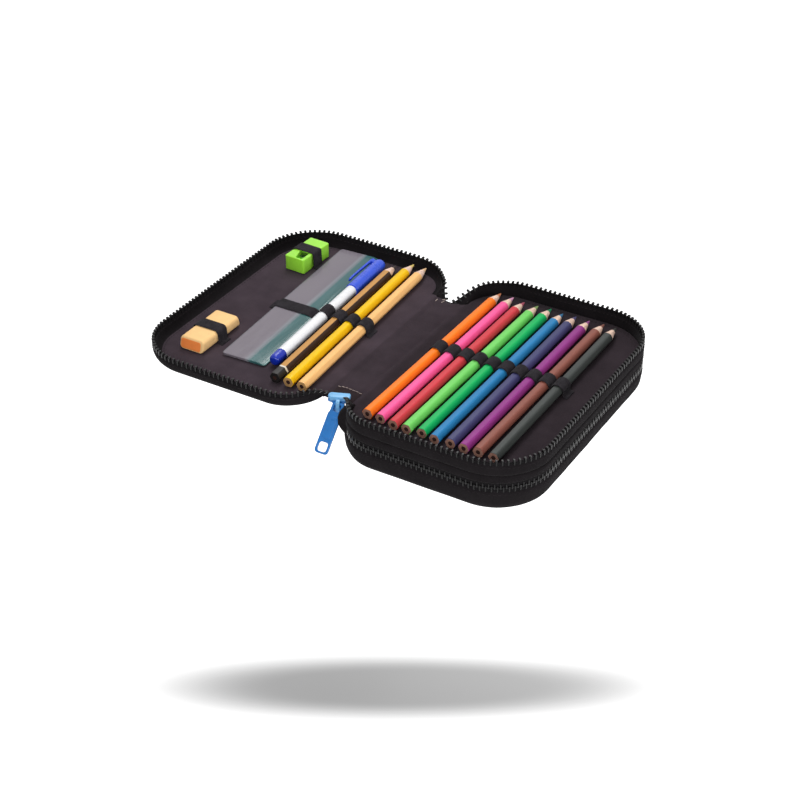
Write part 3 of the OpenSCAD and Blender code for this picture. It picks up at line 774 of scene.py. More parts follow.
# Lower compartment: rounded outer wall with a rolled hem, and a boarded floor
base_profile = (arc(-BASE_EDGE_R, BASE_EDGE_R, BASE_EDGE_R, -90, 0, 9)
                + [(0.2, 10), (0.3, 12), (0.15, 13.8), (-0.1, 14.6), (-0.5, BASE_WALL_Z)]
                + [(-1.1, BASE_WALL_Z), (-1.6, 14.6), (-1.8, 13.6), (-1.8, 10)]
                + arc(-BASE_EDGE_R, BASE_EDGE_R, BASE_EDGE_R - WALL_T, 0, -90, 7))
sewn("base_wall_cloth", swept(closed_outline(), base_profile, 0.15), WALL_CLOTHS, "base",
     ["base_shell"], split=15, loop=True)
base_boundary = [at - out * (BASE_EDGE_R - 0.1) for at, out in closed_outline()]
padded_floor("base_floor_lining", base_boundary, 0, BOARD_TOP_Z, [LINING, OUTER], "base", "base_board",
             0.15, 0.6)

# Cloth hinge between the lower compartment and the tray, along the spine and on round both corners to the zip
HINGE_FRONT = 31
HINGE_REAR = 50
hinge_path = [(at, out) for at, out in outline() if rear_angle(at) < HINGE_REAR]
front_part = [(at, out) for at, out in outline() if at.y < 0 and corner_angle(at) < HINGE_FRONT]
run_on(hinge_path, front_part[0][0], -X)
hinge_path += front_part
hinge_profile = [(-0.1, 14.4), (0.15, 16.4), (0.35, 17.6), (0.3, CHAIN_Z), (0.35, 18.9), (0.15, 20.4),
                 (-0.1, 24.0), (-0.5, UNDER_Z), (-1.5, 24.0), (-1.6, 20.4), (-1.35, 18.9), (-1.3, CHAIN_Z),
                 (-1.35, 17.6), (-1.6, 16.4), (-1.6, 14.4)]
rows = []
for at, out in hinge_path:
    tall = 1 - 0.4 * smooth((abs(at.y) - END_Y + 1) / 2)
    rows.append([at + out * (o + 0.1 * ripple(at.y, 3 * z)) + Z * (CHAIN_Z + (z - CHAIN_Z) * tall)
                 for o, z in hinge_profile])
sewn("base_hinge_cloth", rows, [OUTER], LOW_BEND, ["base_spine", "tray_spine"])

# Folded end of the lower zip, standing out of the front corner: rows of reach, thickness, low and high
TAB_ROWS = [(-1.4, 9.0, 12.6, 33.8), (0.4, 7.6, 12.8, 33.4), (1.8, 5.6, 14.2, 32.2), (3.4, 4.0, 16.2, 30),
            (4.8, 2.9, 18.4, 27.4), (5.8, 1.6, 20, 24.8)]
tab_out = spoke(180 + 27)
tab_along = Vector((-tab_out.y, tab_out.x, 0))
tab_foot = Vector((SPINE_CORNER_X, -END_Y, 0)) + tab_out * SPINE_R
rows = []
for reach, thick, low, high in TAB_ROWS:
    section = rounded_outline(thick, high - low, 0.45 * thick, (0, (low + high) / 2), 4)
    rows.append([tab_foot + tab_out * (reach + 0.25 * math.sin(0.5 * z)) + tab_along * a + Z * z
                 for a, z in section])
sewn("base_zip_end_cloth", rows, [OUTER], LOW_BEND)

# Lower zip; its teeth start and end part of the way round the corners beside the spine
LOWER_FROM = 28
LOWER_TO = 66
for name, body, root_z, edge_z, up, shift in (("base", "base", BASE_WALL_Z - 0.5, BASE_TAPE_Z, Z, 0),
                                              ("skirt", "tray", SKIRT_WALL_Z + 0.5, SKIRT_TAPE_Z, -Z, 0.5)):
    profile = [(-1.4, root_z), (-1.4, edge_z), (-0.4, edge_z), (-0.4, root_z)]
    sewn(name + "_tape_cloth", swept(outline(), profile), [TAPE], body, [name + "_zip_tape"])
    root = Z * edge_z - up * TAPE_H
    stations = [Station(at + root, None, out, up) for at, out in outline(LOWER_FROM, LOWER_TO)]
    zip_teeth(name + "_teeth", stations, shift, body, name + "_zip_teeth")

# Tray: skirt, upper wall with its gussets, floor, tape and teeth
skirt_profile = [(-0.95, 26.95), (-0.4, 26.8), (0.05, 26.3), (0.3, 25.2), (0.3, 23.8), (0.15, 22.4),
                 (-0.1, 21.7), (-0.5, SKIRT_WALL_Z), (-1.1, SKIRT_WALL_Z), (-1.6, 21.7), (-1.8, 22.5),
                 (-1.8, 24.6), (-1.5, 26.4)]
sewn("tray_skirt_cloth", swept(outline(), skirt_profile, 0.12), WALL_CLOTHS, "tray",
     ["tray_skirt"], split=8)
wall_profile = [(0.0, -0.95), (0.03, -0.4), (0.1, 0.05), (0.25, 0.28), (0.5, 0.32), (0.75, 0.22), (0.93, 0.0),
                (1.0, -0.4), (1.0, -1.1), (0.94, -1.5), (0.8, -1.7), (0.4, -1.8), (0.0, -1.8), (-0.12, -1.7),
                (-0.12, -1.1)]
sewn("tray_wall_cloth", rim_wall(TRAY_RIM, wall_profile), WALL_CLOTHS, TRAY_BEND,
     ["tray_wall"], split=8)
# The tray's lining is the darker copy, a painted shade
padded_floor("tray_floor_lining", floor_boundary(WALL_T - 0.1), UNDER_Z, FLOOR_Z, [LINING], "tray",
             "tray_board", 0.12, 0.5)
sewn("tray_tape_cloth", rim_tape(TRAY_RIM), [TAPE], TRAY_BEND, ["tray_zip_tape"])
zip_teeth("tray_teeth", TRAY_RIM, 0, TRAY_BEND, "tray_zip_teeth")

# Lid: rounded edge, upper wall with gussets, floor, tape and teeth, all drawn as the tray's mirror image
lid_lower = (arc(-LID_EDGE_R, UNDER_Z + LID_EDGE_R, LID_EDGE_R, -90, 0, 8)
             + arc(-LID_EDGE_R, UNDER_Z + LID_EDGE_R, LID_EDGE_R - WALL_T, 0, -90, 6))
rows = []
for at, out in outline():
    share = lid_share(min(1, corner_angle(at) / (FRONT_LEAVE if at.y < 0 else LID_SETTLE)))
    row = []
    for o, h in lid_lower:
        height = h if h < FLOOR_Z and o < 0.01 - LID_EDGE_R else UNDER_Z + (h - UNDER_Z) * share
        row.append(at + out * o + Z * height)
    rows.append(row)
sewn("lid_edge_cloth", rows, WALL_CLOTHS, "lid", split=9, lid=True)
lid_wall_profile = [(-0.1, 0.0), (0.1, 0.02), (0.4, 0.12), (0.75, 0.1), (0.92, -0.05), (1.0, -0.4),
                    (1.0, -1.1), (0.92, -1.5), (0.7, -1.7), (0.2, -1.78), (-0.1, -1.8)]
sewn("lid_wall_cloth", rim_wall(LID_RIM, lid_wall_profile), WALL_CLOTHS, LID_BEND, split=6,
     lid=True)
# The lid's lining is the lighter copy, a painted light
padded_floor("lid_floor_lining", floor_boundary(LID_EDGE_R - 0.3), UNDER_Z, FLOOR_Z,
             [LID_LINING_PAINTED_LIGHT, OUTER], "lid", "lid_shell", 0.12, 0.4, lid=True)
sewn("lid_tape_cloth", rim_tape(LID_RIM), [TAPE], LID_BEND, ["lid_zip_tape"], lid=True)
zip_teeth("lid_teeth", LID_RIM, 0.5, LID_BEND, "lid_zip_teeth", lid=True)

# Spine: two strips with soft creases at the folds, which meet in the middle and are lapped into the two
# floors
SPINE_LAP = 2.6
SPINE_COLUMNS = 26
SPINE_ROWS = 110


def spine_height(x, y):
    near_crease = hump(x - FOLD_X + 2.2 - 0.7 * math.sin(0.07 * y), 1.8)
    far_crease = hump(x - LID_FOLD_X - 2.2 - 0.4 * math.sin(0.05 * y), 2.0)
    pucker = hump(x - FOLD_X, 5) * math.sin(0.33 * y + 0.9 * math.sin(0.11 * y))
    furrow = math.sin(0.16 * y + 0.42 * (x - SPINE_X) + 0.7 * math.sin(0.05 * y))
    sink = (0.3 + 0.2 * math.sin(0.19 * y)) * near_crease + 0.25 * far_crease
    dip_down = 1.5 * smooth((y - END_Y + 8) / 8) * hump(x - SPINE_X, 8)
    soft = 0.12 * pucker + 0.14 * furrow + 0.3 * ripple(x * 2.2, y, 0.9)
    lapped = max(smooth((x - FOLD_X - 0.6) / SPINE_LAP), smooth((LID_FOLD_X - 0.6 - x) / SPINE_LAP))
    edge = smooth((x - FOLD_X + 3) / 3) + smooth((LID_FOLD_X + 3 - x) / 3)
    return FLOOR_Z - sink - dip_down + soft * (1 - edge) + 0.16 * edge - 0.5 * lapped


def spine_rows(near_x, far_x, crease_x):
    rows = []
    reach = END_Y - 0.2
    for i in range(SPINE_ROWS + 1):
        top = []
        under = []
        for j in range(SPINE_COLUMNS + 1):
            x = near_x + (far_x - near_x) * j / SPINE_COLUMNS
            rear = reach - 1.7 * hump(x - SPINE_X, 7)
            y = -reach + (rear + reach) * i / SPINE_ROWS
            roll = 0.5 * max(smooth((y - rear + 2) / 2), smooth((2 - reach - y) / 2))
            high = spine_height(x, y) - roll
            lapped = x > FOLD_X + 0.6 or x < LID_FOLD_X - 0.6
            low = high - 0.4 if lapped else UNDER_Z + 0.25 * hump(x - crease_x, 0.9) + roll
            top.append(Vector((x, y, high)))
            under.append(Vector((x, y, low)))
        rows.append(top + list(reversed(under)))
    return rows


sewn("spine_cloth_near", spine_rows(FOLD_X + SPINE_LAP, SPINE_X, FOLD_X), [SPINE_CLOTH, OUTER],
     fold("tray", "spine", FOLD_X + SPINE_BEND, FOLD_X - SPINE_BEND), ["spine_panel"],
     split=SPINE_COLUMNS)
sewn("spine_cloth_far", spine_rows(SPINE_X, LID_FOLD_X - SPINE_LAP, LID_FOLD_X), [SPINE_CLOTH, OUTER],
     fold("spine", "lid", LID_FOLD_X + SPINE_BEND, LID_FOLD_X - SPINE_BEND),
     split=SPINE_COLUMNS)

# Patch over the front end of the spine, under the slider, and pale threads at both ends
PATCH_FROM_Y = -60
PATCH_COLUMNS = 24
PATCH_ROWS = 8


def patch_bow(x):
    return 0.9 * (1 - ((x - SPINE_X) / 9) ** 2)


rows = []
for i in range(PATCH_COLUMNS + 1):
    x = FOLD_X - 1.6 + (LID_FOLD_X - FOLD_X + 3.2) * i / PATCH_COLUMNS
    start_y = PATCH_FROM_Y + patch_bow(x)
    over = []
    under = []
    for j in range(PATCH_ROWS + 1):
        y = start_y + (0.4 - END_Y - start_y) * j / PATCH_ROWS
        edge = 0.15 if j in (0, PATCH_ROWS) or i in (0, PATCH_COLUMNS) else 0.45
        level = spine_height(x, y) - 0.5 * smooth((abs(y) - END_Y + 2.2) / 2)
        over.append(Vector((x, y, level + edge)))
        under.append(Vector((x, y, level - 0.3)))
    rows.append(over + list(reversed(under)))
sewn("spine_end_cloth", rows, [END_CLOTH], "spine")

shape = Shape()
for i in range(7):
    x = SPINE_X - 7.8 + 2.6 * i
    y = PATCH_FROM_Y + patch_bow(x) - 0.7
    stitch(shape, Vector((x, y, spine_height(x, y) + 0.55)), X, Z, 2.3, 0.27)
for x, y, way in ((-9.2, 67.8, (0, 1, 0)), (-4.2, 67.6, (0.26, 0.97, 0)), (-5.3, 71.6, (0.92, 0.39, 0))):
    at = Vector((SPINE_X + x, y, spine_height(SPINE_X + x, y) + 0.15))
    stitch(shape, at, Vector(way).normalized(), Z, 3.4, 0.34)
dressed(shape.build("spine_stitches", [PALE_THREAD]), "spine")

# Stitching beside the zips and along the floors
inner = [(at, out) for at, out in outline(FRONT_LEAVE) if rear_angle(at) > SAG_FROM]
stitch_rows("base_stitches", outline(), [(0.28, BASE_WALL_Z - 1.6, 1)], "base")
stitch_rows("tray_stitches", inner, [(0.25, TRAY_WALL_Z - 1.3, 1), (-1.8, TRAY_WALL_Z - 1.6, -1),
                                     (0.22, SKIRT_WALL_Z + 1.2, 1), (-5.5, FLOOR_Z + 0.05, 0)], "tray")
stitch_rows("lid_stitches", inner, [(0.1, LID_WALL_Z - 1.2, 1), (-1.8, LID_WALL_Z - 1.4, -1),
                                    (-7.5, FLOOR_Z + 0.05, 0)], "lid", STITCH_PITCH, lid=True)

# Elastics and what they hold
BAND_T = 0.7
BAND_W = 11
BAND_SECTION = [(-0.5, 0.35), (-0.46, 0.85), (-0.38, 1), (-0.13, 1), (0.13, 1), (0.38, 1), (0.46, 0.85),
                (0.5, 0.35)]
BAND_Z = FLOOR_Z + 0.45
STRAP_W = 10
LOOP_R = 4.52
PEN_LOOP_R = 4.55
TRAY_BAND_Y = 5.5
LID_BAND_Y = 5.3
PENCIL_Z = 30.1
PEN_Z = 31.3
TRAY_PENCILS = ["orange", "pink", "red", "light_green", "green", "blue", "indigo", "purple", "brown", "grey"]
LID_PENCILS = ["peach", "yellow", "striped"]
TRAY_X = [FOLD_X + 17.2 + 9.9 * i for i in range(10)]
LID_U = [18.9, 29.2, 39.5]
PEN_U = 49.6
RULER_U = 71.8
RULER_W = 33
RULER_L = 161
RULER_T = 2
RULER_Z = FLOOR_Z + 0.6
SKEW = 2.9


# A band over points of x and z, with thinner edges; lean shears it along its width
def ribbon(name, points, width, y_mid=0.0, lean=0.0):
    rows = []
    for (x, z), way in zip(points, ways(points)):
        up = Vector((-way.y, 0, way.x))
        if way.x < 0 and abs(way.x) > abs(way.y):
            up = -up
        upper = []
        lower = []
        for t, full in BAND_SECTION:
            at = Vector((x - lean * t * width, y_mid + t * width, z))
            upper.append(at + up * (BAND_T / 2 * full))
            lower.append(at - up * (BAND_T / 2 * full))
        rows.append(upper + list(reversed(lower)))
    return tube_mesh(name, rows, [ELASTIC], 60)


# A path through corners, each rounded by its own reach
def rounded_path(corners, reaches, count):
    points = [corners[0]]
    for before, at, after, reach in zip(corners, corners[1:], corners[2:], reaches):
        middle = Vector(at)
        a = middle + (Vector(before) - middle).normalized() * reach
        b = middle + (Vector(after) - middle).normalized() * reach
        for i in range(count + 1):
            t = i / count
            p = a * (1 - t) ** 2 + middle * (2 * t * (1 - t)) + b * t * t
            points.append((p.x, p.y))
    points.append(corners[-1])
    return points


# An elastic band: a strip as long as the path that it takes, put on its body in place of its node
def elastic(mesh, body, replaced):
    band = dressed(show(mesh.name, mesh), body, [replaced])


def dip(x, way):
    return [(x - 0.42 * way, BAND_Z + 0.5), (x, BAND_Z), (x + 0.42 * way, BAND_Z + 0.5)]


# Sewn-down end of a band beside a loop at x, read towards the loop
def band_end(x, far, middle):
    return [(x + far, BAND_Z - 0.1), (x + middle, BAND_Z - 0.05), (x + math.copysign(5.4, far), BAND_Z + 0.2)]


def lid_x(u):
    return LID_FOLD_X - u


points = band_end(TRAY_X[0], -7.6, -6.6)
for x, ahead in zip(TRAY_X, TRAY_X[1:] + [None]):
    points += arc(x, PENCIL_Z, LOOP_R, 205, -25, 14)
    if ahead is not None:
        points += dip((x + ahead) / 2, 1)
points += reversed(band_end(TRAY_X[-1], 7.6, 6.6))
mesh = ribbon("tray_elastic_band", points, BAND_W, TRAY_BAND_Y)
elastic(mesh, "tray", "tray_elastic")

points = band_end(lid_x(LID_U[0]), 7.2, 6.4)
for u, ahead in zip(LID_U, LID_U[1:] + [PEN_U]):
    points += arc(lid_x(u), PENCIL_Z, LOOP_R, -25, 205, 14)
    points += dip(lid_x((u + ahead) / 2), -1)
points += arc(lid_x(PEN_U), PEN_Z, PEN_LOOP_R, -35, 215, 14)
right = lid_x(RULER_U - RULER_W / 2)
left = lid_x(RULER_U + RULER_W / 2)
top = RULER_Z + RULER_T + 0.5
ruler_path = [(right + 0.9, BAND_Z), (right + 0.45, BAND_Z + 0.6), (right - 6.5, top), (left - 0.2, top),
              (left - 1.4, BAND_Z), (left - 4.8, BAND_Z - 0.1)]
points += rounded_path(ruler_path, [0.5] * 4, 3)
lean = math.tan(math.radians(SKEW))
mesh = ribbon("lid_elastic_band", points, BAND_W, LID_BAND_Y, lean)
elastic(mesh, "lid", "lid_elastic")

ITEM_Z = low_of("eraser").z
ERASER_W, ERASER_L, ERASER_H = high_of("eraser") - low_of("eraser")
SHARPENER_W = 16.4
SHARPENER_L = 32
SHARPENER_H = high_of("sharpener_body").z - ITEM_Z


def middle_of(name):
    middle = (low_of(name) + high_of(name)) / 2
    return placed(middle.x, middle.y, 0)


# Strap over a block, drawn about the block's own middle, with its corners rounded by the block's edges
def strap(item, width, height, corner_r, place):
    half = width / 2 + 0.55
    top = ITEM_Z + height + 0.6
    corners = [(-half - 3.2, BAND_Z - 0.1), (-half - 0.5, BAND_Z), (-half, top), (half, top),
               (half + 0.5, BAND_Z), (half + 3.2, BAND_Z - 0.1)]
    points = rounded_path(corners, [0.5, corner_r, corner_r, 0.5], 7)
    mesh = ribbon(item + "_elastic_band", points, STRAP_W)
    mesh.transform(place)
    elastic(mesh, "lid", item + "_elastic")


ERASER_AT = middle_of("eraser")
SHARPENER_AT = middle_of("sharpener_body") @ slide_turn("sharpener_slide")
strap("eraser", ERASER_W, ERASER_H, 3.2, ERASER_AT)
strap("sharpener", SHARPENER_W, SHARPENER_H, 1.5, SHARPENER_AT)

# Pencils, drawn along +Y from the blunt end
FLAT_R = 3.5
LEAD_R = 1.5
CASING_END_R = 1.75
POINT_R = 0.35
CONE_SLOPE = (FLAT_R - POINT_R) / 13
PENCIL_L = 175
STRIPED_L = 167
PENCIL_TAGS = {"butt": 1, "core": 2, "cone": 3, "butt_core_painted_shade": 4, "dip": 6, "ring": 7}


def hexagon(apothem, edge):
    points = []
    reach = (apothem - edge) / math.cos(math.radians(30))
    for middle in range(0, 360, 60):
        corner = spoke(middle) * reach
        points += arc(corner.x, corner.y, edge, middle - 30, middle + 30, 4)
    return points


def pencil(name, length, mats, place, striped):
    edge = 0.7 if striped else 1.5
    section = hexagon(FLAT_R, edge)
    radii = [math.hypot(x, z) for x, z in section]
    shoulder = [length - (r - POINT_R) / CONE_SLOPE for r in radii]
    casing_end = length - (CASING_END_R - POINT_R) / CONE_SLOPE
    rows = []
    kinds = []

    def ring(points, ys, kind):
        rows.append([Vector((x, y, z)) for (x, z), y in zip(points, ys)])
        kinds.append(kind)

    def level_ring(points, y, kind):
        ring(points, [y] * len(points), kind)

    def scaled(reaches):
        return [(x * reach / r, z * reach / r) for (x, z), r, reach in zip(section, radii, reaches)]

    def round_ring(radius, y, kind):
        level_ring(scaled([radius] * len(section)), y, kind)

    round_ring(0.1, 0.3, "butt_core_painted_shade")
    round_ring(LEAD_R, 0.3, "butt_core_painted_shade")
    round_ring(LEAD_R * 1.02, 0.02, "butt")
    level_ring(hexagon(FLAT_R - 0.22, edge), 0, "dip" if striped else "paint")
    cuts = [(0.22, "dip"), (9, "ring"), (10.6, "paint")] if striped else [(0.22, "paint")]
    for y, kind in cuts + [(40, "paint"), (80, "paint"), (120, "paint")]:
        level_ring(section, y, kind)
    ring(section, shoulder, "cone")
    for t in (0.3, 0.65):
        ys = [s + (casing_end - s) * t for s in shoulder]
        ring(scaled([POINT_R + (length - y) * CONE_SLOPE for y in ys]), ys, "cone")
    round_ring(CASING_END_R, casing_end, "core")
    round_ring(POINT_R + 2 * CONE_SLOPE, length - 2, "core")
    round_ring(POINT_R + 0.02, length - 0.15, "core")
    round_ring(0.18, length, "core")

    def tag(i, j):
        if kinds[i] == "paint":
            return 5 if striped and (j + 3) // 5 % 2 else 0
        return PENCIL_TAGS[kinds[i]]

    mesh = tube_mesh(name, rows, mats, 28, tag, lambda p: (p.y, math.atan2(p.z, p.x) * FLAT_R))
    mesh.transform(place)
    return show(name, mesh)


# Materials in the order of the tags: casing, butt, core, cone and butt core, then any stripes; the butt core
# is drawn dark brown in every pencil, a painted shade
def add_pencil(colour, place, butt, stripes=()):
    lacquer = hard("lacquer_" + colour, srgb(*LACQUERS[colour]), 0.42, 500, 0.012, coat=0.06, variety=0.06,
                   gloss=0.15, stretch=(1, 0.15, 1))
    core = hard("core_" + colour, srgb(*TIPS[colour]), 0.55, 900, 0.02, variety=0.2, gloss=0.15)
    mats = [lacquer, butt, core, PALE_WOOD, BUTT_CORE_PAINTED_SHADE, *stripes]
    made = pencil("coloured_pencil_" + colour, STRIPED_L if stripes else PENCIL_L, mats, place, bool(stripes))
    dressed(made, "pencil_" + colour, ["pencil_" + colour, "lead_" + colour])


# Place in the lid at a distance from the fold, turned with the skewed row
def skewed(u, back, z):
    return placed(lid_x(u), LID_BAND_Y, 0) @ turn(SKEW, "Z") @ placed(0, -back, z)


for colour, x in zip(TRAY_PENCILS, TRAY_X):
    slide = "pencil_" + colour + "_slide"
    way = slide_axis(slide)
    back = (low_of("lead_" + colour).y - TRAY_BAND_Y) / way.y
    butt_at = Vector((x, TRAY_BAND_Y, PENCIL_Z)) + way * back
    add_pencil(colour, placed(*butt_at) @ slide_turn(slide), BUTT_WOOD)

DARK_STRIPE = hard("dark_stripe_lacquer", srgb(56, 38, 32), 0.4, 500, 0.012, coat=0.06, variety=0.1,
                   gloss=0.15)
BLACK_DIP = hard("black_dip_lacquer", srgb(36, 33, 33), 0.36, 500, 0.012, coat=0.06, variety=0.1, gloss=0.2)
WHITE_RING = hard("white_ring_lacquer", srgb(232, 224, 208), 0.4, 500, 0.012, variety=0.05)
for colour, u in zip(LID_PENCILS, LID_U):
    striped = colour == "striped"
    add_pencil(colour, skewed(u, 83.5, PENCIL_Z), BLACK_DIP if striped else TAN_WOOD,
               [DARK_STRIPE, BLACK_DIP, WHITE_RING] if striped else ())

# Pen: turned parts, drawn about its own line
PEN_AT = skewed(PEN_U, 69, PEN_Z)
PEN_WHITE = hard("pen_white_plastic", srgb(244, 245, 248), 0.28, 300, 0.006, coat=0.2, variety=0.02)
PEN_BLUE = hard("pen_blue_plastic", srgb(48, 84, 214), 0.3, 300, 0.006, coat=0.25, variety=0.08)
PEN_PLUG = hard("pen_plug_plastic", srgb(14, 44, 170), 0.3, 300, 0.006, coat=0.25, variety=0.08)
PEN_INK = hard("pen_refill_plastic", srgb(60, 84, 190), 0.35, 300, 0.006, variety=0.1)
PEN_R = 4
CAP_R = 4.7


def turned_mesh(name, profile, mat, count=40):
    spokes = [spoke(360 * i / count).xzy for i in range(count)]
    return tube_mesh(name, [[out * r + Y * y for out in spokes] for r, y in profile], [mat], 35)


def pen_part(name, profile, mat, body, replaced, extra=()):
    meshes = [(turned_mesh(name, profile, mat), HERE), *extra]
    dressed(joined(name, meshes, PEN_AT, 35), body, [replaced])


pen_part("pen_barrel_tube", [(1.55, 133.9), (1.9, 133.9), (2.05, 133.2), (3.55, 120.4), (3.6, 119.6),
                             (3.6, 104.8), (3.75, 104.5), (3.95, 104.3), (PEN_R, 104), (PEN_R, 60),
                             (PEN_R, 12), (3.95, 11.1), (3.8, 10.82), (1.55, 10.82)],
         PEN_WHITE, "pen", "pen_barrel")
pen_part("pen_end_plug", [(0.2, 0), (1.9, 0), (2.7, 0.25), (3.4, 0.95), (3.8, 2), (PEN_R, 3.4), (PEN_R, 8.9),
                          (3.82, 9.1), (3.82, 9.4), (PEN_R, 9.6), (PEN_R, 10.5), (3.85, 10.78), (0.2, 10.78)],
         PEN_PLUG, "pen", "pen_plug")
pen_part("pen_refill_tube", [(0.05, 137.5), (0.4, 137.4), (1.45, 134.1), (1.48, 133), (1.48, 18), (0.05, 18)],
         PEN_INK, "pen", "pen_refill")

# Clip of the cap, from its root to its tip: place along the pen, low and high above the cap, half width
CLIP_ROWS = [(146.6, -0.9, 1.0, 1.2), (146.2, -0.9, 1.9, 1.45), (145, -0.9, 2.4, 1.6),
             (142.6, -0.9, 2.6, 1.6), (141.8, 1.2, 2.6, 1.6), (130, 1.6, 2.9, 1.6), (118, 1.8, 3.0, 1.5),
             (114.6, 1.5, 2.9, 1.5), (113.2, 1.7, 2.8, 1.4), (112.5, 1.9, 2.6, 1.0)]
clip_out = spoke(156).xzy
clip_side = Vector((-clip_out.z, 0, clip_out.x))
rows = []
for y, low, high, half in CLIP_ROWS:
    section = ((-1, low), (-1, high - 0.35), (-0.75, high), (0.75, high), (1, high - 0.35), (1, low))
    rows.append([Y * y + clip_out * (CAP_R + h) + clip_side * (s * half) for s, h in section])
clip = tube_mesh("pen_clip", rows, [PEN_BLUE], 35)
pen_part("pen_cap_shell", [(3.7, 116), (3.7, 104.75), (3.85, 104.6), (4.45, 104.6), (CAP_R, 104.9),
                           (CAP_R, 106.2), (4.55, 106.4), (4.55, 106.8), (CAP_R, 107), (CAP_R, 130),
                           (CAP_R, 143.6), (4.55, 145.2), (4.15, 146.6), (3.4, 147.6), (2.4, 148), (1.1, 148),
                           (1.0, 147.4), (0.2, 147.4)],
         PEN_BLUE, "pen_cap", "pen_cap", [(clip, HERE)])

# Ruler: flat, with rounded corners, a sloping edge and a tinted strip with plain marks
BEVEL_W = 6
BEVEL_X = RULER_W / 2 - BEVEL_W
RULER_EDGE_T = 0.8
MARK_PITCH = 5.0


def ruler_material():
    mat, tree, shader = material("ruler_plastic_clear", Transmission_Weight=0.25, IOR=1.49,
                                 Specular_IOR_Level=0.3, Coat_Weight=0.04, Coat_Roughness=0.2)
    across, along = uv_parts(tree)
    place = calc(tree, "DIVIDE", calc(tree, "ADD", across, RULER_W / 2), RULER_W)
    tint = ramp(tree, place, [(0.0, srgb(116, 114, 122)), (0.04, srgb(138, 130, 140)),
                              (0.52, srgb(138, 130, 140)), (0.58, srgb(150, 152, 160)),
                              (0.63, srgb(122, 138, 144)), (0.67, srgb(70, 118, 120)),
                              (0.92, srgb(58, 108, 108)), (1.0, srgb(92, 140, 136))])
    phase = calc(tree, "FRACT", calc(tree, "DIVIDE", along, MARK_PITCH))
    line = calc(tree, "LESS_THAN", calc(tree, "ABSOLUTE", calc(tree, "SUBTRACT", phase, 0.5)), 0.035)
    marks = calc(tree, "MULTIPLY", line, calc(tree, "GREATER_THAN", place, 0.88))
    mixed = node(tree, "ShaderNodeMix", data_type="RGBA")
    tree.links.new(calc(tree, "MULTIPLY", marks, 0.5), mixed.inputs[0])
    tree.links.new(tint, mixed.inputs[6])
    mixed.inputs[7].default_value = srgb(30, 60, 62)
    tree.links.new(mixed.outputs[2], shader.inputs["Base Color"])
    scratches = noise(tree, object_coordinates(tree), 1, 4, (500, 40, 500))
    rough_by(tree, shader, scratches, 0.1, 0.26)
    bump(tree, shader, scratches, 0.01, 0.4)
    return mat


def ruler_top(x):
    return RULER_T - (RULER_T - RULER_EDGE_T) * max(0, x - BEVEL_X) / BEVEL_W


corner_points = rounded_outline(RULER_W, RULER_L, 2.2)
ring_points = []
for (x, y), (next_x, next_y) in zip(corner_points, corner_points[1:] + corner_points[:1]):
    ring_points.append((x, y))
    if (x - BEVEL_X) * (next_x - BEVEL_X) < 0:
        ring_points.append((BEVEL_X, y))
rows = []
for inset, height in ((0.35, lambda x: 0), (0, lambda x: 0.3), (0, lambda x: ruler_top(x) - 0.3),
                      (0.35, ruler_top)):
    row = []
    for x, y in ring_points:
        inset_x = x if abs(x - BEVEL_X) < 1e-6 else x * (1 - 2 * inset / RULER_W)
        row.append(Vector((inset_x, y * (1 - 2 * inset / RULER_L), height(x))))
    rows.append(row)
shape = Shape()
shape.grid(rows, caps=False)
shape.uvs = ring_points * len(rows)
top_row = list(enumerate(ring_points, (len(rows) - 1) * len(ring_points)))
shape.faces.append(list(range(len(ring_points))))
shape.faces.append([j for j, (x, y) in top_row if x <= BEVEL_X + 1e-6])
shape.faces.append([j for j, (x, y) in top_row if x >= BEVEL_X - 1e-6])
shape.tags += [0] * 3
mesh = shape.mesh("clear_ruler", [ruler_material()], 25)
mesh.transform(skewed(RULER_U, 72.3 - RULER_L / 2, RULER_Z))
dressed(show("clear_ruler", mesh), "ruler", ["ruler"])

# Eraser: soft block with a darker core showing in its ends
RUBBERS = [hard("eraser_rubber_pale", srgb(255, 210, 146), 0.62, 260, 0.03, variety=0.05, gloss=0.15),
           hard("eraser_rubber_core", srgb(255, 146, 76), 0.66, 260, 0.03, variety=0.08, gloss=0.15)]
ERASER_SLANT = 2.4
ERASER_EDGE_R = 2.8
ERASER_END_R = 1.1


# Half length at a height: the ends lean in towards the top
def eraser_reach(z):
    return ERASER_L / 2 - ERASER_SLANT * z / ERASER_H


ends = [(1.0, 0.0), (0.62, 0.06), (0.3, 0.3), (0.08, 0.62), (0.0, 1.0)]
steps = [(inset, -1, back) for inset, back in ends]
steps += [(0.0, share, 1.0) for share in (-0.5, 0.0, 0.5)]
steps += [(inset, 1, back) for inset, back in reversed(ends)]
rows = []
for inset, share, back in steps:
    cut = inset * ERASER_END_R
    section = rounded_outline(ERASER_W - 2 * cut, ERASER_H - 2 * cut, ERASER_EDGE_R - 0.8 * cut,
                              (0, ERASER_H / 2), 5)
    rows.append([Vector((x, share * (eraser_reach(z) - back * ERASER_END_R), ITEM_Z + z))
                 for x, z in section])
meshes = [(tube_mesh("eraser_block", rows, RUBBERS, 50), HERE)]
lean = math.degrees(math.atan2(ERASER_SLANT, ERASER_H))
for side in (-1, 1):
    face_outline = rounded_outline(15.8, 6.6, 1.6, (0.6 * side, -0.3))
    face = plate_mesh("eraser_end", [face_outline], 0.5, 0.12, RUBBERS, 1)
    middle = placed(0, side * (eraser_reach(ERASER_H / 2) - 0.14), ITEM_Z + ERASER_H / 2)
    meshes.append((face, middle @ turn(90 + side * lean, "X")))
dressed(joined("eraser_block", meshes, ERASER_AT, 50), "eraser", ["eraser"])

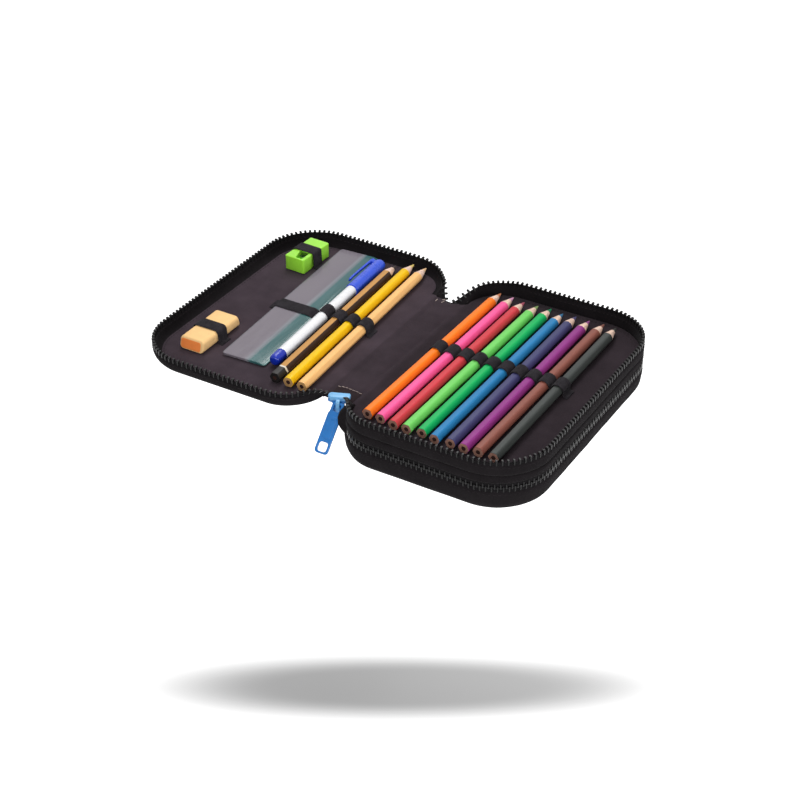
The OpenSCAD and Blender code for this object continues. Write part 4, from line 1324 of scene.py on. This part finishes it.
# Sharpener: waisted block with a window cut over the blade and a bore in its rear end
SHARPENER = hard("sharpener_plastic_green", srgb(158, 232, 66), 0.36, 300, 0.01, coat=0.1, variety=0.05)
STEEL = hard("blade_steel_brushed", srgb(170, 172, 176), 0.3, 500, 0.01, variety=0.1, stretch=(1, 12, 1),
             metal=1.0)
SHARPENER_EDGE_R = 1.5
WAIST_DEPTH = 1.2
WAIST_HALF_L = 7
WAIST_R = (WAIST_HALF_L ** 2 + WAIST_DEPTH ** 2) / (2 * WAIST_DEPTH)
WINDOW_FRONT_Y = -14.6
WINDOW_RIGHT_X = 5.6
WINDOW_LEFT = (0.4, -4.2)
WINDOW_DEPTH = 4.2
WELL_DEPTH = 6.6
WELL_REAR_Y = -7.1
BORE_Z = SHARPENER_H / 2 - 0.5


def sharpener_outline():
    corner_x = SHARPENER_W / 2 - SHARPENER_EDGE_R
    corner_y = SHARPENER_L / 2 - SHARPENER_EDGE_R
    count = 32
    side = []
    for i in range(count + 1):
        y = corner_y * (2 * i / count - 1)
        bow = math.sqrt(max(0, WAIST_R ** 2 - y * y)) - WAIST_R + WAIST_DEPTH
        side.append((SHARPENER_W / 2 - max(0, bow), y))
    corner = arc(corner_x, corner_y, SHARPENER_EDGE_R, 0, 90, 6)[1:-1]
    points = side + corner
    points += [(-x, y) for x, y in reversed(side + corner)]
    return points + [(-x, -y) for x, y in corner] + [(x, -y) for x, y in reversed(corner)]


def cut_away(piece, cutter):
    tool = show("cutter", cutter)
    change = piece.modifiers.new("cut", "BOOLEAN")
    change.operation = "DIFFERENCE"
    change.solver = "EXACT"
    change.object = tool
    graph = bpy.context.evaluated_depsgraph_get()
    result = bpy.data.meshes.new_from_object(piece.evaluated_get(graph))
    piece.modifiers.clear()
    old = piece.data
    piece.data = result
    bpy.data.meshes.remove(old)
    bpy.data.objects.remove(tool)


def window_left_x(y):
    return WINDOW_LEFT[0] + (WINDOW_LEFT[1] - WINDOW_LEFT[0]) * (1 - y / WINDOW_FRONT_Y)


def window_cutter(rear_y, depth):
    tall = 9
    corners = [(window_left_x(WINDOW_FRONT_Y), WINDOW_FRONT_Y), (WINDOW_RIGHT_X, WINDOW_FRONT_Y),
               (WINDOW_RIGHT_X, rear_y), (window_left_x(rear_y), rear_y)]
    cutter = plate_mesh("window", [corners], tall, 0.25, [SHARPENER])
    cutter.transform(placed(0, 0, SHARPENER_H - depth + tall / 2))
    return cutter


mesh = plate_mesh("sharpener_block", [sharpener_outline()], SHARPENER_H, 0.6, [SHARPENER])
sharpener = show("sharpener_block", mesh)
mesh.transform(placed(0, 0, SHARPENER_H / 2))
cut_away(sharpener, window_cutter(-0.02, WINDOW_DEPTH))
cut_away(sharpener, window_cutter(WELL_REAR_Y, WELL_DEPTH))
bore = turned_mesh("bore", [(4.1, 1), (4.0, 0), (1.2, -24)], SHARPENER, 32)
bore.transform(placed(0, SHARPENER_L / 2, BORE_Z))
cut_away(sharpener, bore)
sharpener.data.transform(SHARPENER_AT @ placed(0, 0, ITEM_Z))
finish_mesh(sharpener.data, 35)
sharpener.data.name = "sharpener_block"
dressed(sharpener, "sharpener", ["sharpener_body"])
for name in ("sharpener_blade", "blade_screw"):
    give(frame["nodes"][name].data, [STEEL])

# Sliders and pullers, drawn lying with the chain along Y, the mouth towards +Y and the pulled face up
PULLER_L = 33.5
PULLER_W = 9.8
PULLER_TIP_R = 2.4
EYE_L = 6
BRIDGE_SECTION = [(1, 0.5), (0.8, 1), (-0.8, 1), (-1, 0.5), (-1, -0.5), (-0.8, -1), (0.8, -1), (1, -0.5)]


def slider_meshes(name, mouth_w, inner_from, bridge_top, askew=0):
    half = mouth_w / 2
    tail = 3.8
    shoulder = 2.2
    end = 6
    turned = turn(askew, "Y")

    def plate(label, from_y, z):
        points = [(tail - 0.5, from_y), (tail, from_y + 0.6)]
        if from_y < shoulder:
            points += [(tail, shoulder - 1.4), (tail + 0.5, shoulder - 0.5), (half - 0.8, shoulder)]
        points += [(half - 0.3, shoulder + 0.7), (half - 0.3, end - 2)]
        points += [(-x, y) for x, y in reversed(points)]
        return plate_mesh(name + label, [points], 1.3, 0.32, ENAMELS), turned @ placed(0, 0, z)

    bar_points = [(half - 0.9, -3.0), (half, -2.0), (half, 2.0), (half - 0.9, 3.0), (1.6 - half, 3.0),
                  (0.3 - half, 1.6), (-half, 0), (0.3 - half, -1.6), (1.6 - half, -3.0)]
    # The bar takes the lighter enamel, a painted highlight
    bar = plate_mesh(name + "_bar", [bar_points], 3.2, 0.8, ENAMELS, 1)
    wedge_points = [(-1.3, 4.4), (-1.6, 3.4), (0, 0.4), (1.6, 3.4), (1.3, 4.4)]
    wedge = plate_mesh(name + "_wedge", [wedge_points], 3.6, 0.2, ENAMELS)
    return [plate("_front", -6, 2.25), plate("_back", inner_from, -2.25),
            (bar, turned @ placed(0, end - 1.6, 0) @ turn(90, "X")), (wedge, turned),
            (bridge_mesh(name + "_bridge", bridge_top), turned)]


# Bow over the slider that holds the puller
def bridge_mesh(name, top):
    rise = [(-4.1, 2.4), (-4.1, top - 0.6), (-3.7, top + 0.2), (-2.9, top + 0.6)]
    path = rise + [(0, top + 0.7)] + [(-y, z) for y, z in reversed(rise)]
    rows = []
    for (y, z), way in zip(path, ways(path)):
        up = Vector((0, -way.y, way.x))
        rows.append([Vector((1.3 * a, y, z)) + up * (0.5 * b) for a, b in BRIDGE_SECTION])
    # The bridge takes the lighter enamel, a painted highlight
    return tube_mesh(name, rows, ENAMELS, tag=1)


def puller_meshes(name):
    half = PULLER_W / 2
    neck = half - 0.8
    corner_x = half - PULLER_TIP_R
    corner_y = PULLER_TIP_R - PULLER_L
    side = [(neck, 0.6 - EYE_L), (half - 0.4, -EYE_L - 0.6), (half, -EYE_L - 1.6)]
    points = [(-neck, 0.7), (neck, 0.7)] + side + arc(corner_x, corner_y, PULLER_TIP_R, 0, -90, 6)
    points += arc(-corner_x, corner_y, PULLER_TIP_R, -90, -180, 6) + [(-x, y) for x, y in reversed(side)]
    eye = rounded_outline(4.8, 4.7, 0.9, (0, -EYE_L / 2 - 0.05))
    window = rounded_outline(6.4, 6.2, 1.6, (0, 4.5 - PULLER_L))
    rib = rounded_outline(PULLER_W - 3.4, 14.5, 1.4, (0, -16.2))
    return [(plate_mesh(name, [points, eye, window], 1.4, 0.35, ENAMELS), HERE),
            (plate_mesh(name + "_rib", [rib], 1.9, 0.3, ENAMELS), HERE)]


def add_slider(node_name, place, body, *sizes):
    name = node_name + "_body"
    dressed(joined(name, slider_meshes(name, *sizes), place), body, [node_name])


def add_puller(node_name, place):
    name = node_name + "_tab"
    dressed(joined(name, puller_meshes(name), place), node_name, [node_name])


SLIDER_TURN = 22
BRIDGE_H = 5.4
PULLER_SHIFT = SLIDER_SHIFT + BRIDGE_H * math.sin(math.radians(SLIDER_TURN)) + 0.3
PULLER_HANG = 47
SLIDER_AT = placed(SPINE_X + SLIDER_SHIFT, -END_Y - 2, FLOOR_Z - 0.5) @ turn(90, "X")
PULLER_AT = placed(*joint_at("upper_puller_swing")) @ placed(PULLER_SHIFT, 0, 0) @ turn(PULLER_HANG, "X")
add_slider("upper_slider", SLIDER_AT, "spine", 14.4, 1.2, BRIDGE_H, SLIDER_TURN)
add_puller("upper_puller", PULLER_AT)

LOWER_ANGLE = 180 - 58
LOWER_AT = (placed(SPINE_CORNER_X, END_Y, CHAIN_Z) @ turn(LOWER_ANGLE, "Z")
            @ placed(SPINE_R - WALL_T / 2, 0, 0) @ turn(90, "Z") @ turn(90, "X") @ turn(-90, "Z"))
LOWER_PULLER_AT = LOWER_AT @ placed(0, 0, 3.3) @ Matrix.Scale(0.7, 4) @ turn(180, "Z")
add_slider("lower_slider", LOWER_AT @ Matrix.Scale(0.55, 4), "base", 11.4, -6, 7.4)
add_puller("lower_puller", LOWER_PULLER_AT)

# Camera at the photograph's angle
CAMERA_TARGET = Vector((-64.8, -20.1, 0))
CAMERA_AZIMUTH = math.radians(30.66)
CAMERA_ELEVATION = math.radians(33.49)
CAMERA_DISTANCE = 1137


# Puts a camera or lamp at a distance from a point, looking at it
def aimed(name, data, target, way, away):
    made = show(name, data)
    made.location = (target + way * away) * MM
    made.rotation_euler = (-way).to_track_quat("-Z", "Y").to_euler()
    return made


way = Vector((math.sin(CAMERA_AZIMUTH) * math.cos(CAMERA_ELEVATION),
              -math.cos(CAMERA_AZIMUTH) * math.cos(CAMERA_ELEVATION), math.sin(CAMERA_ELEVATION)))
camera = aimed("camera", bpy.data.cameras.new("camera"), CAMERA_TARGET, way, CAMERA_DISTANCE)
camera.data.lens = 77.3
camera.data.sensor_width = 36
camera.data.clip_start = 0.01
bpy.context.scene.camera = camera

# Floor well below the case, as in the photograph, and soft light from above
FLOOR_DROP = 235
FLOOR_REACH = 4000
# Middle and size of a painted shadow: a thin oval under the case, turned with the camera, where the floor's
# glow is left out
PAINTED_SHADOW_MIDDLE = Vector((CAMERA_TARGET.x + 13, CAMERA_TARGET.y - 18, -FLOOR_DROP))
PAINTED_SHADOW_SIZE = (0.186, 0.032, 1)


def is_seen(tree):
    path = node(tree, "ShaderNodeLightPath")
    seen = calc(tree, "MAXIMUM", path.outputs["Is Camera Ray"], path.outputs["Is Glossy Ray"])
    return calc(tree, "MAXIMUM", seen, path.outputs["Is Transmission Ray"])


def floor_material():
    mat = bpy.data.materials.new("pale_floor")
    mat.use_nodes = True
    tree = mat.node_tree
    tree.nodes.clear()
    out = node(tree, "ShaderNodeOutputMaterial")
    diffuse = node(tree, "ShaderNodeBsdfDiffuse", {"Color": (0.76, 0.76, 0.76, 1)})
    # Painted shadow: the glow is nil inside the oval and rises outside it, so the lamp-lit floor shows grey
    # only in the oval
    painted_shadow_oval = node(tree, "ShaderNodeMapping", {"Vector": object_coordinates(tree), "Location": PAINTED_SHADOW_MIDDLE * MM,
                                            "Rotation": (0, 0, CAMERA_AZIMUTH), "Scale": PAINTED_SHADOW_SIZE},
                vector_type="TEXTURE")
    away = node(tree, "ShaderNodeVectorMath", {0: painted_shadow_oval.outputs["Vector"]}, operation="LENGTH")
    level = node(tree, "ShaderNodeMapRange", {"Value": away.outputs["Value"], "From Min": 0.5,
                                              "From Max": 1.45, "To Min": 0.0, "To Max": 0.95},
                 interpolation_type="SMOOTHSTEP")
    strength = calc(tree, "MULTIPLY", is_seen(tree), level.outputs["Result"])
    glow = node(tree, "ShaderNodeEmission", {"Color": (1, 1, 1, 1), "Strength": strength})
    both = node(tree, "ShaderNodeAddShader", {0: diffuse.outputs[0], 1: glow.outputs[0]})
    tree.links.new(both.outputs[0], out.inputs["Surface"])
    return mat


shape = Shape()
for x, y in ((-1, -1), (1, -1), (1, 1), (-1, 1)):
    shape.verts.append(Vector((x * FLOOR_REACH, y * FLOOR_REACH, -FLOOR_DROP)))
    shape.uvs.append((x * FLOOR_REACH, y * FLOOR_REACH))
shape.faces = [[0, 1, 2, 3]]
shape.tags = [0]
floor = shape.build("floor", [floor_material()])

world = bpy.data.worlds.new("studio")
world.use_nodes = True
tree = world.node_tree
back = tree.nodes["Background"]
back.inputs["Color"].default_value = (1, 1, 1, 1)
strength = node(tree, "ShaderNodeMapRange", {"Value": is_seen(tree), "To Min": 0.18, "To Max": 1.0})
tree.links.new(strength.outputs["Result"], back.inputs["Strength"])
bpy.context.scene.world = world

LAMP_AIM = Vector((SPINE_X, 0, FLOOR_Z))


# A soft square lamp in a direction from the case; level is what it adds on a white face turned to it
def lamp(name, direction, away, size, level):
    light = bpy.data.lights.new(name, "AREA")
    light.shape = "SQUARE"
    light.size = size * MM
    light.energy = level * (math.pi * away * MM) ** 2
    aimed(name, light, LAMP_AIM, Vector(direction).normalized(), away)


lamp("overhead", (-0.12, 0.1, 0.98), 1000, 450, 0.3)
lamp("back_left", (-0.3, 0.5, 0.81), 1100, 450, 0.4)
lamp("right_low", (0.93, -0.3, 0.21), 1300, 600, 0.36)
lamp("front", (0.3, -0.8, 0.5), 1300, 600, 0.42)

bpy.context.scene.view_settings.view_transform = "Standard"
